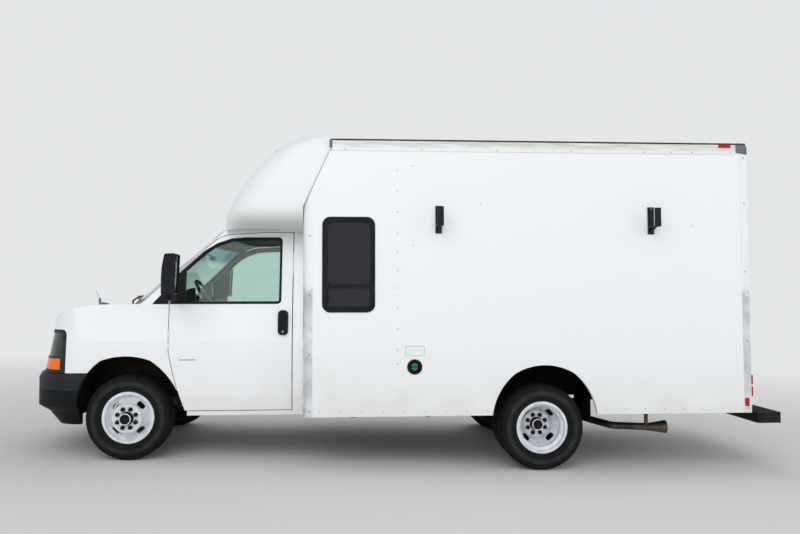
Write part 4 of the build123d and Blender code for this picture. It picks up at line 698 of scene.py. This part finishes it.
# Dashboard: grained moulding, with a dark instrument glass, a control panel with knobs and louvred
# vents let in, and the indicator stalk. The wheel's rim is soft moulded foam.
dash_plastic = moulded_plastic("dash_plastic", "34363b", "3f4147", 0.6, 700, 0.0005)
dress(dash_plastic, "dashboard")
wheel_foam = moulded_plastic("wheel_rim_foam", "141518", "1d1e21", 0.55, 900, 0.0004)
dress(wheel_foam, "steering_wheel")
gauge_glass = worn("instrument_glass", "0d0f12", "16181c", 15, 0.1, coat=0.8)
shaped("instrument_glass", "chassis", [
    ([(459, 1464), (489, 1368), (493, 1370), (463, 1465)], -588, -262, "y"),
], 1, gauge_glass)
shaped("control_panel", "chassis", [
    ([(547, 1328), (580, 1240), (562, 1128), (568, 1127), (587, 1240), (554, 1331)], -110, 190, "y"),
], 2, gauge_glass)
knobs = [(582, y, 1205) for y in (-60, 40, 140)]
studded("control_knobs", "chassis", knobs, 17, 20, (1, 0, -0.2), dash_plastic)
shaped("dash_vents", "chassis", [
    ([(548, z + 7), (556, z + 7), (560, z), (551, z)], y, y + 120, "y")
    for y in (-820, -240, 220, 700) for z in (1311, 1296, 1281, 1266)
], 1, black_plastic)
stalk = [(512, -455, 1352), (518, -520, 1366), (516, -590, 1378)]
rods("indicator_stalk", "chassis", [stalk], 6, black_plastic)

# Inner mirror in a black moulded shell on its stalk, and two padded sun visors in vinyl, all clipped
# under the roof's front edge.
shaped("inner_mirror", "chassis", [
    (rounded([(505, 1748), (519, 1746), (530, 1800), (516, 1803)], 5), -128, 128, "y"),
], 5, black_plastic, segments=3)
rods("inner_mirror_stalk", "chassis", [[(517, 0, 1792), (480, 0, 1812), (445, 0, 1812)]], 6, black_plastic)
visor_vinyl = moulded_plastic("visor_vinyl", "5c626a", "666c74", 0.75, 500, 0.0004)
shaped("sun_visors", "chassis", [
    (rounded([(690, 1903), (700, 1895), (850, 1925), (846, 1939)], 6), 110, 560, "y"),
], 5, visor_vinyl, both=True, segments=3)

# Seats: two buckets with squab, back and head restraint in grey woven cloth over foam, sewn with a
# welt round each side. The covers are blown up by the foam, so their faces crown between the seams.
seat_cloth, tree, shader, place = new_material("woven_seat_cloth")
thread_spacing = 0.002856  # metres; the real 1 mm is too fine to show, and a wave's scale counts 20 / 2 pi
threads = 2 * pi / (20 * thread_spacing)
warp, weft, across = [
    node(tree, "ShaderNodeTexWave", {"bands_direction": way}, Vector=place, Scale=threads).outputs["Fac"]
    for way in "XZY"
]
faint = node(tree, "ShaderNodeMath", {"operation": "MULTIPLY"}, n_0=across, n_1=0.5)
weave = node(tree, "ShaderNodeMath", {"operation": "MULTIPLY_ADD"}, n_0=warp, n_1=weft, n_2=faint)
tone = node(tree, "ShaderNodeMix", {"data_type": "RGBA"}, n_0=weave, n_6="3a3d43", n_7="4d5158").outputs[2]
wear = mottled(tree, place, "383b40", "4a4d54", 8)
mix = node(tree, "ShaderNodeMix", {"data_type": "RGBA"}, n_0=0.35, n_6=tone, n_7=wear)
bump = node(tree, "ShaderNodeBump", Height=weave, Strength=0.5, Distance=0.0012)
feed(tree, shader, Base_Color=mix.outputs[2], Roughness=0.92, Sheen_Weight=0.3, Normal=bump)
welt_cord = moulded_plastic("welt_cord", "2a2c30", "33363a", 0.85, 800, 0.0005)
seat_middle = 460
squab_outline = [(735, 1002), (732, 1068), (790, 1088), (1180, 1076), (1288, 1078), (1290, 1002)]
pad_parts = (  # (name, outline, half width, lowest z, how far the cover may swell)
    ("squab", squab_outline, 228, 984.6, 24),
    ("back", [(1222, 1112), (1233, 1140), (1352, 1618), (1414, 1608), (1296, 1112)], 222, 1093.5, 22),
    ("head_rest", [(1362, 1634), (1380, 1812), (1436, 1808), (1418, 1634)], 116, 1612, 14),
)


def swollen(mesh, cap):
    """A sewn cover filled with foam: remeshed, blown up as cloth, and held within a cap."""
    pad = placed("pad", mesh)
    voxels = pad.modifiers.new("remesh", "REMESH")
    voxels.mode = "VOXEL"
    voxels.voxel_size = 6.0
    even = settled(pad)
    even.transform(Matrix.Scale(0.001, 4))
    pad = placed("pad", even)
    cloth = pad.modifiers.new("cloth", "CLOTH")
    cloth.settings.use_pressure = True
    cloth.settings.uniform_pressure_force = 4.0
    cloth.settings.effector_weights.gravity = 0.0
    scene = bpy.context.scene
    for step in range(1, 21):
        scene.frame_set(step)
    blown = settled(pad)
    for still, moved in zip(even.vertices, blown.vertices):
        shift = moved.co - still.co
        if shift.length > cap / 1000:
            moved.co = still.co + shift.normalized() * cap / 1000
    scene.frame_set(1)
    blown.transform(Matrix.Scale(1000, 4))
    return blown


for part, outline, half, low_z, cap in pad_parts:
    work = bmesh.new()
    rim = rounded(outline, 16, 3)
    rings = [[work.verts.new((x, y, z)) for x, z in rim] for y in (-half, half)]
    for k in range(len(rim)):
        after = (k + 1) % len(rim)
        work.faces.new((rings[0][k], rings[0][after], rings[1][after], rings[1][k]))
    work.faces.new(rings[0])
    work.faces.new(rings[1][::-1])
    bmesh.ops.recalc_face_normals(work, faces=work.faces)
    cover = from_work(f"{part}_cover", work)
    cover = swollen(cover, cap)
    for name, side in (("left", -1), ("right", 1)):
        mesh = cover.copy()
        for vert in mesh.vertices:
            vert.co.y += side * seat_middle
            vert.co.z = max(vert.co.z, low_z)
        pad = finish_piece(f"{part}_{name}", "chassis", mesh, seat_cloth, 60)
        if part == "squab":
            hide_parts("seats")
        welts = []
        for edge in (-half - 2, half + 2):
            ring = [(x, side * seat_middle + edge, max(z, low_z + 3)) for x, z in rim]
            welts.append(ring + ring[:1])
        rods(f"{part}_welts_{name}", "chassis", welts, 4, welt_cord)
post_places = [side * seat_middle + apart for side in (-1, 1) for apart in (-55, 55)]
rods("head_rest_posts", "chassis", [[(1392, y, 1590), (1398, y, 1650)] for y in post_places], 7, stainless)

# Box: glass-fibre faced plywood panels in white gelcoat, pressed into an extruded aluminium frame, and
# the moulded nose over the cab, which turns under along its foot; the shade there is painted onto its sides.
box_gelcoat = white_paint("white_gelcoat", "eceef0", "cbc9c2", 0.38, 0.25, 40)
cap_gelcoat = white_paint("moulded_gelcoat", "e9ebec", "d6d7d3", 0.34, 0.3, 14)
dress(box_gelcoat, "box_wall_left", "box_wall_right", "box_front_wall", "box_roof")
tree, shader, place, (x, y, z) = opened(cap_gelcoat)
# Painted shade: a grey is laid over the nose's sides, strongest at its foot and fading out by the height
# where it turns under.
nose_foot_z, turn_under_z = 1.96, 2.17
low_down = node(
    tree, "ShaderNodeMapRange", {"interpolation_type": "SMOOTHSTEP"},
    Value=z, From_Min=nose_foot_z, From_Max=turn_under_z, To_Min=0.9, To_Max=0.0,
)
apart = node(tree, "ShaderNodeMath", {"operation": "ABSOLUTE"}, n_0=y)
outward = node(tree, "ShaderNodeMapRange", Value=apart, From_Min=1.0, From_Max=1.18)
painted_shade = node(tree, "ShaderNodeMath", {"operation": "MULTIPLY"}, n_0=low_down, n_1=outward)
laid_over(tree, shader, painted_shade, "92948f")
dress(cap_gelcoat, "front_cap")

# Frame of the box: the corner posts are coloured white above a ragged line near the belt and are bare,
# scuffed and dented below it; the sill, the header and the rails are bare mill aluminium, blotched by the
# weather.
box_aluminium, tree, shader, place = new_material("mill_aluminium")
x, y, z = level_place(tree, place)
bare = mottled(tree, place, "c9cccf", "eceeef", 6, 8)
lowest_white, ragged = 1.2, 0.5
edge_noise = node(tree, "ShaderNodeTexNoise", Vector=place, Scale=14.0, Detail=6)
edge = node(
    tree, "ShaderNodeMath", {"operation": "MULTIPLY_ADD"}, n_0=edge_noise, n_1=ragged, n_2=lowest_white
)
side_y, front_post_x = 1.2, 1.62
apart = node(tree, "ShaderNodeMath", {"operation": "ABSOLUTE"}, n_0=y)
side_face = node(tree, "ShaderNodeMath", {"operation": "GREATER_THAN"}, n_0=apart, n_1=side_y)
front_face = node(tree, "ShaderNodeMath", {"operation": "LESS_THAN"}, n_0=x, n_1=front_post_x)
posts = node(tree, "ShaderNodeMath", {"operation": "MAXIMUM"}, n_0=front_face, n_1=side_face)
# The posts' faces above the ragged line are coloured white and not metallic; below it they are bare
# aluminium.
above = node(tree, "ShaderNodeMath", {"operation": "GREATER_THAN"}, n_0=z, n_1=edge)
white_upper = node(tree, "ShaderNodeMath", {"operation": "MULTIPLY"}, n_0=above, n_1=posts)
tone = node(tree, "ShaderNodeMix", {"data_type": "RGBA"}, n_0=white_upper, n_6=bare, n_7="e9ebee").outputs[2]
metal = node(tree, "ShaderNodeMapRange", Value=white_upper, To_Min=0.6, To_Max=0.0)
dented_z, even_z = 1.25, 1.6
low_down = node(
    tree, "ShaderNodeMapRange", Value=z, From_Min=dented_z, From_Max=even_z, To_Min=1.0, To_Max=0.1
)
dents = node(tree, "ShaderNodeTexNoise", Vector=place, Scale=9.0, Detail=2)
height = node(tree, "ShaderNodeMath", {"operation": "MULTIPLY"}, n_0=dents, n_1=low_down)
bump = node(tree, "ShaderNodeBump", Height=height, Strength=0.6, Distance=0.02)
feed(tree, shader, Base_Color=tone, Metallic=metal, Roughness=0.34, Normal=bump)
dress(box_aluminium, "box_frame")

# Cove rail covers: an extrusion along each roof edge with a flat flange, a hollow face above it and a
# dark rubber drip strip under its lip.
rail_start, rail_end, rail_half = 1739, 5262, 1222
cove_profile = [
    (0, 2626), (3.5, 2626), (3.5, 2654), (1, 2658), (0.6, 2668), (1.4, 2684), (4, 2700), (6, 2706), (6, 2711),
    (0, 2711),
]
cove_face, tree, shader, place = new_material("polished_aluminium_extrusion")
x, y, z = level_place(tree, place)
drift = node(tree, "ShaderNodeMapping", Vector=place, Scale=(1.2, 1.0, 20.0)).outputs[0]
flange_top = 2.656
flange = node(tree, "ShaderNodeMath", {"operation": "LESS_THAN"}, n_0=z, n_1=flange_top)
polished = mottled(tree, drift, "cfccc8", "efeeec", 3)
mix = node(tree, "ShaderNodeMix", {"data_type": "RGBA"}, n_0=flange, n_6=polished, n_7="eceef0")
feed(tree, shader, Base_Color=mix.outputs[2], Metallic=0.35, Roughness=0.28)
shaped("cove_rail_covers", "chassis", [
    ([(rail_half + out, z) for out, z in cove_profile], rail_start, rail_end, "x"),
], 0, cove_face, both=True)
dark_rubber = moulded_plastic("brown_black_rubber", "2b2320", "3a302b", 0.6, 500, 0.0006)
drip_profile = [(0, 2711.5), (7, 2712), (8, 2718), (-2, 2727), (-2, 2722)]
shaped("drip_strips", "chassis", [
    ([(rail_half + out, z) for out, z in drip_profile], rail_start - 6, rail_end + 90, "x"),
], 0, dark_rubber, both=True)
shaped("rail_end_stops", "chassis", [
    (oblong(1716, 1741, 2650, 2722), rail_half - 6, rail_half + 6, "y"),
], 3, grey_moulding, both=True)
corner = [(5262, 2640), (5368, 2622), (5368, 2700), (5345, 2704), (5350, 2722), (5330, 2731), (5262, 2731)]
shaped("rear_corner_caps", "chassis", [
    (rounded(corner, 5), rail_half - 50, rail_half + 5, "y"),
], 3, grey_moulding, both=True)

# Sealant: a thin bead of grey polyurethane, pressed by hand along the seam between the moulded nose
# and the box.
seam = [(1494, 2133), (1719, 2625), (1737, 2627)]
grey_sealant = moulded_plastic("grey_sealant", "6d6b67", "84827d", 0.6, 300, 0.0008)
rods("seam_sealant", "chassis", [
    [(x - 2, side * 1219.3, z) for x, z in seam] for side in (-1, 1)
], 2.5, grey_sealant)

# Marker lamps across the front of the moulded nose: amber acrylic lenses on dark moulded feet, screwed
# through its skin.
marker_start, marker_slope = (1228, 2656.6), [(0.886, 0.463), (-0.463, 0.886)]
foot_outline = [(0, -12), (52, -12), (52, 4), (0, 4)]
lens_outline = [(6, 2), (46, 2), (40, 12), (12, 12)]


def on_nose_top(along, off):
    """A point in the side view that stands off the sloping top of the moulded nose."""
    return tuple(marker_start[k] + marker_slope[0][k] * along + marker_slope[1][k] * off for k in (0, 1))


marker_places = ((-925, 8), (-160, 0), (0, 0), (160, 0), (925, 8))  # (across, how far it is let in)
for name, outline, half, bevel, segments, material in (
    ("marker_feet", foot_outline, 52, 2, 2, black_plastic),
    ("marker_lenses", lens_outline, 44, 3.5, 3, amber_lens),
):
    shaped(name, "chassis", [
        ([on_nose_top(along, off - sunk) for along, off in outline], y - half, y + half, "y")
        for y, sunk in marker_places
    ], bevel, material, segments=segments)

# Rivets and screws of the box: the column behind the window holds the inner post, the others hold the
# rails, posts and sill.
rivet_white = white_paint("painted_rivets", "b9bcbf", "a5a39e", 0.45, 0.1, 60)
column_x = 2292
column = (2459, 2279, 2104, 1921, 1763, 1605, 1458, 1290, 1117, 936, 819)
rivet_spots = [(column_x, z) for z in column] + [(2424, 1822), (2425, 2499), (3010, 2180), (4870, 1995)]
rivet_spots += [(x, 420) for x in range(1640, 3060, 177)]
rivet_spots += [(x, 420) for x in range(4080, 5280, 171)]
front_screws = [(1553, z) for z in (430, 900, 1400, 1900)]
post_screws = [(5332, z) for z in (420, 1000, 1600, 2200, 2598)]
rail_screws = [(x, 2640) for x in (1850, 2500, 3150, 3800, 4450, 4685, 4873, 5215)]
stud_rows = (  # (name, places, distance from the middle, radius, height, finish)
    ("wall_rivets", rivet_spots, 1219, 6.5, 2.2, rivet_white),
    ("post_screws", post_screws, 1222, 7, 3.5, stainless),
    ("front_post_screws", front_screws, 1219, 7, 3.5, stainless),
    ("rail_screws", rail_screws, 1225.5, 6, 3, stainless),
)
for name, side in (("left", -1), ("right", 1)):
    for row, places, out, radius, height, finish in stud_rows:
        spots = [(x, side * out, z) for x, z in places]
        studded(f"{row}_{name}", "chassis", spots, radius, height, (0, side, 0), finish)

# Box windows: toughened privacy glass, nearly black, held in black rubber, with a moulded pull on the
# lower pane, which slides.
box_glass, tree, shader, place = new_material("dark_privacy_glass")
waves = node(tree, "ShaderNodeTexNoise", Vector=place, Scale=3.0, Detail=0)
bump = node(tree, "ShaderNodeBump", Height=waves, Strength=0.15, Distance=0.004)
feed(tree, shader, Base_Color="0e1218", Roughness=0.03, Normal=bump)
dress(box_glass, "side_window_glass")
shaped("window_pulls", "chassis", [
    (rounded(oblong(1700, 1716, 1340, 1420), 4), 1199, 1213, "y"),
], 3, black_plastic, both=True)

# Ladder hooks: bent steel strap with a fine black powder coat, held to the wall by coach bolts with
# bright heads.
hook_coat = moulded_plastic("black_powder_coat", "17181b", "222327", 0.42, 800, 0.0004)
dress(hook_coat, "ladder_hooks")
bolts = [(x, -1229, z) for x in (2643, 4493) for z in (1940, 2139)]
studded("hook_bolts", "chassis", bolts, 9, 6, (0, -1, 0), stainless)

# Fuel filler: a moulded green cap with a raised grip, screwed on in the black cup, and a blank film
# label with a green edge stuck to the wall above it.
green_cap = worn("green_cap_plastic", "0f6a42", "178055", 60, 0.4)
filler_x, filler_z = 2437, 793
points, faces = turned([(1213.2, 31), (1216.5, 31), (1218, 29), (1218, 3)], filler_x, filler_z, -1, 48)
mesh_piece("filler_cap_face", "chassis", points, faces, green_cap)
grip = rounded(oblong(filler_x - 27, filler_x + 27, 786, 800), 5)
shaped("filler_cap_grip", "chassis", [(grip, -1222, -1217, "y")], 2, green_cap)
label_film = worn("white_label_film", "dfe9e4", "e8eeeb", 30, 0.3)
label_edge = worn("green_label_edge", "7fb39c", "8dbda8", 30, 0.3)
outer, inner = rounded(oblong(2352, 2526, 880, 970), 6), rounded(oblong(2357, 2521, 885, 965), 4)
shaped("blank_label_edge", "chassis", [(outer, -1219.7, -1219, "y")], 0, label_edge)
shaped("blank_label", "chassis", [(inner, -1220.1, -1219.6, "y")], 0, label_film)

# Load floor: plywood with a brown phenolic resin face, screwed to its bearers; its tone drifts in
# long streaks where loads have been dragged in.
floor_ply, tree, shader, place = new_material("phenolic_plywood")
boards = node(tree, "ShaderNodeMapping", Vector=place, Scale=(1.0, 12.0, 12.0)).outputs[0]
feed(tree, shader, Base_Color=mottled(tree, boards, "463a31", "5d5044", 4, 8), Roughness=0.6)
grain(tree, place, shader, 350, 0.2, 0.0008)
dress(floor_ply, "box_floor")

# Load rails inside: two extruded aluminium tracks along each wall, left bare, with the row of
# stainless screws that holds each edge.
track_profile = [
    (1179, 0), (1171, 0), (1171, 42), (1175, 46), (1175, 74), (1171, 78), (1171, 120), (1179, 120),
]
shaped("load_tracks", "chassis", [
    ([(y, low_z + up) for y, up in track_profile], 1790, 5290, "x") for low_z in (1210, 1710)
], 0, box_aluminium, both=True)
for name, side in (("left", -1), ("right", 1)):
    studded(f"track_screws_{name}", "chassis", [
        (x, side * 1171, z) for x in range(1840, 5280, 200) for z in (1230, 1310, 1730, 1810)
    ], 6, 3, (0, -side, 0), stainless)

# Rear doors: white gelcoat panels with a black rubber gasket; the hinges, lock rods and handles bolted
# on outside are zinc-plated steel, so they are grey and mottled.
rear_door_paint = white_paint("rear_door_gelcoat", "eceef0", "c5c3bc", 0.38, 0.25, 40)
tree, shader, place, (x, y, z) = opened(rear_door_paint)
panel_face = 5.3562
gear = node(tree, "ShaderNodeMath", {"operation": "GREATER_THAN"}, n_0=x, n_1=panel_face)
laid_over(tree, shader, gear, mottled(tree, place, "8f9396", "b3b6b8", 45))
metal = node(tree, "ShaderNodeMath", {"operation": "MULTIPLY"}, n_0=gear, n_1=0.75)
feed(tree, shader, Metallic=metal)
dress(rear_door_paint, "rear_door_left", "rear_door_right")
gasket = moulded_plastic("black_gasket", "101113", "191a1c", 0.7, 600, 0.0006)
gasket_strips = ((1118, 1136, 848, 2599), (4, 20, 848, 2599), (20, 1118, 2583, 2599), (20, 1118, 848, 864))
for name, side in (("left", -1), ("right", 1)):
    body = f"rear_door_{name}"
    shaped(f"door_gasket_{name}", body, [
        (oblong(*strip), 5351, 5359, "x") for strip in gasket_strips
    ], 2, gasket, side=side)

# Rear sill: a blank enamelled plate screwed to its black holder, and the grip bars that are punched up
# from the step's steel deck.
plate_white = worn("blank_plate_enamel", "d9dbdc", "e4e5e6", 20, 0.35)
holder, plate = rounded(oblong(-560, -240, 695, 838), 8), rounded(oblong(-552, -248, 702, 832), 12)
shaped("plate_holder", "chassis", [(holder, 5363, 5367, "x")], 1, black_plastic)
shaped("blank_number_plate", "chassis", [(plate, 5366.5, 5368.5, "x")], 0.5, plate_white)
bar_rows, bar_places = range(-1030, 950, 110), range(5520, 5700, 28)
shaped("step_grip_bars", "chassis", [
    (oblong(x, x + 12, y, y + 90), 356.5, 361, "z") for y in bar_rows for x in bar_places
], 1.5, chassis_paint, segments=1)

# Floor, light and camera. The floor and the background are plain and pale; the lamps stand far off
# and are large, so the white sides keep their tone.
backdrop_tone = linear("e4e6e8")
ground, tree, shader, place = new_material("pale_floor")
feed(tree, shader, Base_Color="dcdcda", Roughness=0.9)


def straight_rays(tree):
    """1 for rays that come from the camera, off gloss or through glass, which see the backdrop."""
    rays = node(tree, "ShaderNodeLightPath").outputs
    share = rays["Is Camera Ray"]
    for other in ("Is Glossy Ray", "Is Transmission Ray"):
        share = node(tree, "ShaderNodeMath", {"operation": "MAXIMUM"}, n_0=share, n_1=rays[other])
    return share


distance = node(tree, "ShaderNodeVectorMath", {"operation": "LENGTH"}, n_0=place).outputs["Value"]
fade_starts, fade_full = 4.0, 12.0
far = node(tree, "ShaderNodeMapRange", Value=distance, From_Min=fade_starts, From_Max=fade_full)
plain = node(tree, "ShaderNodeEmission", Color=backdrop_tone, Strength=1.0).outputs[0]
faded = node(tree, "ShaderNodeMath", {"operation": "MULTIPLY"}, n_0=far, n_1=straight_rays(tree))
surface = node(tree, "ShaderNodeMixShader", n_0=faded, n_1=shader.outputs[0], n_2=plain).outputs[0]
tree.links.new(surface, tree.nodes["Material Output"].inputs["Surface"])
floor_mesh = bpy.data.meshes.new("floor")
floor_mesh.from_pydata([(-40, -30, 0), (40, -30, 0), (40, 40, 0), (-40, 40, 0)], [], [(0, 1, 2, 3)])
floor_mesh.materials.append(ground)
floor = placed("floor", floor_mesh)

world = bpy.data.worlds.new("studio")
world.use_nodes = True
bpy.context.scene.world = world
tree = world.node_tree
sky = tree.nodes["Background"]
sky.inputs["Color"].default_value = (0.95, 0.97, 1.0, 1)
sky.inputs["Strength"].default_value = 0.5
seen = node(tree, "ShaderNodeBackground", Color=backdrop_tone, Strength=1.0)
mixed = node(
    tree, "ShaderNodeMixShader", n_0=straight_rays(tree), n_1=sky.outputs[0], n_2=seen.outputs[0]
)
tree.links.new(mixed.outputs[0], tree.nodes["World Output"].inputs["Surface"])
lit_middle = (0, 0, 1.2)
for lamp_name, spot, size, power in (
    ("key", (-3.0, -10.0, 6.0), 10.0, 640),
    ("fill", (8.0, -6.0, 4.0), 7.0, 170),
    ("back", (2.0, 10.0, 7.0), 9.0, 330),
):
    lamp = bpy.data.lights.new(lamp_name, "AREA")
    lamp.size = size
    lamp.energy = power
    light = placed(lamp_name, lamp)
    light.location = spot
    light.visible_glossy = False
    light.rotation_euler = (Vector(lit_middle) - Vector(spot)).to_track_quat("-Z", "Y").to_euler()

yaw, pitch, roll = radians(-3.514), radians(2.654), radians(-1.343)
turn = Matrix.Rotation(yaw, 3, "Z") @ Matrix.Rotation(pitch, 3, "X") @ Matrix.Rotation(roll, 3, "Y")
lens_data = bpy.data.cameras.new("camera")
lens_data.sensor_width = 36.0
lens_data.lens = 32.95
camera = placed("camera", lens_data)
right, forward, up = turn.col
eye = Matrix.Translation((-0.483, -7.4028, 1.4129))
camera.matrix_world = eye @ Matrix((right, up, -forward)).transposed().to_4x4()
bpy.context.scene.camera = camera
bpy.context.scene.view_settings.view_transform = "Standard"
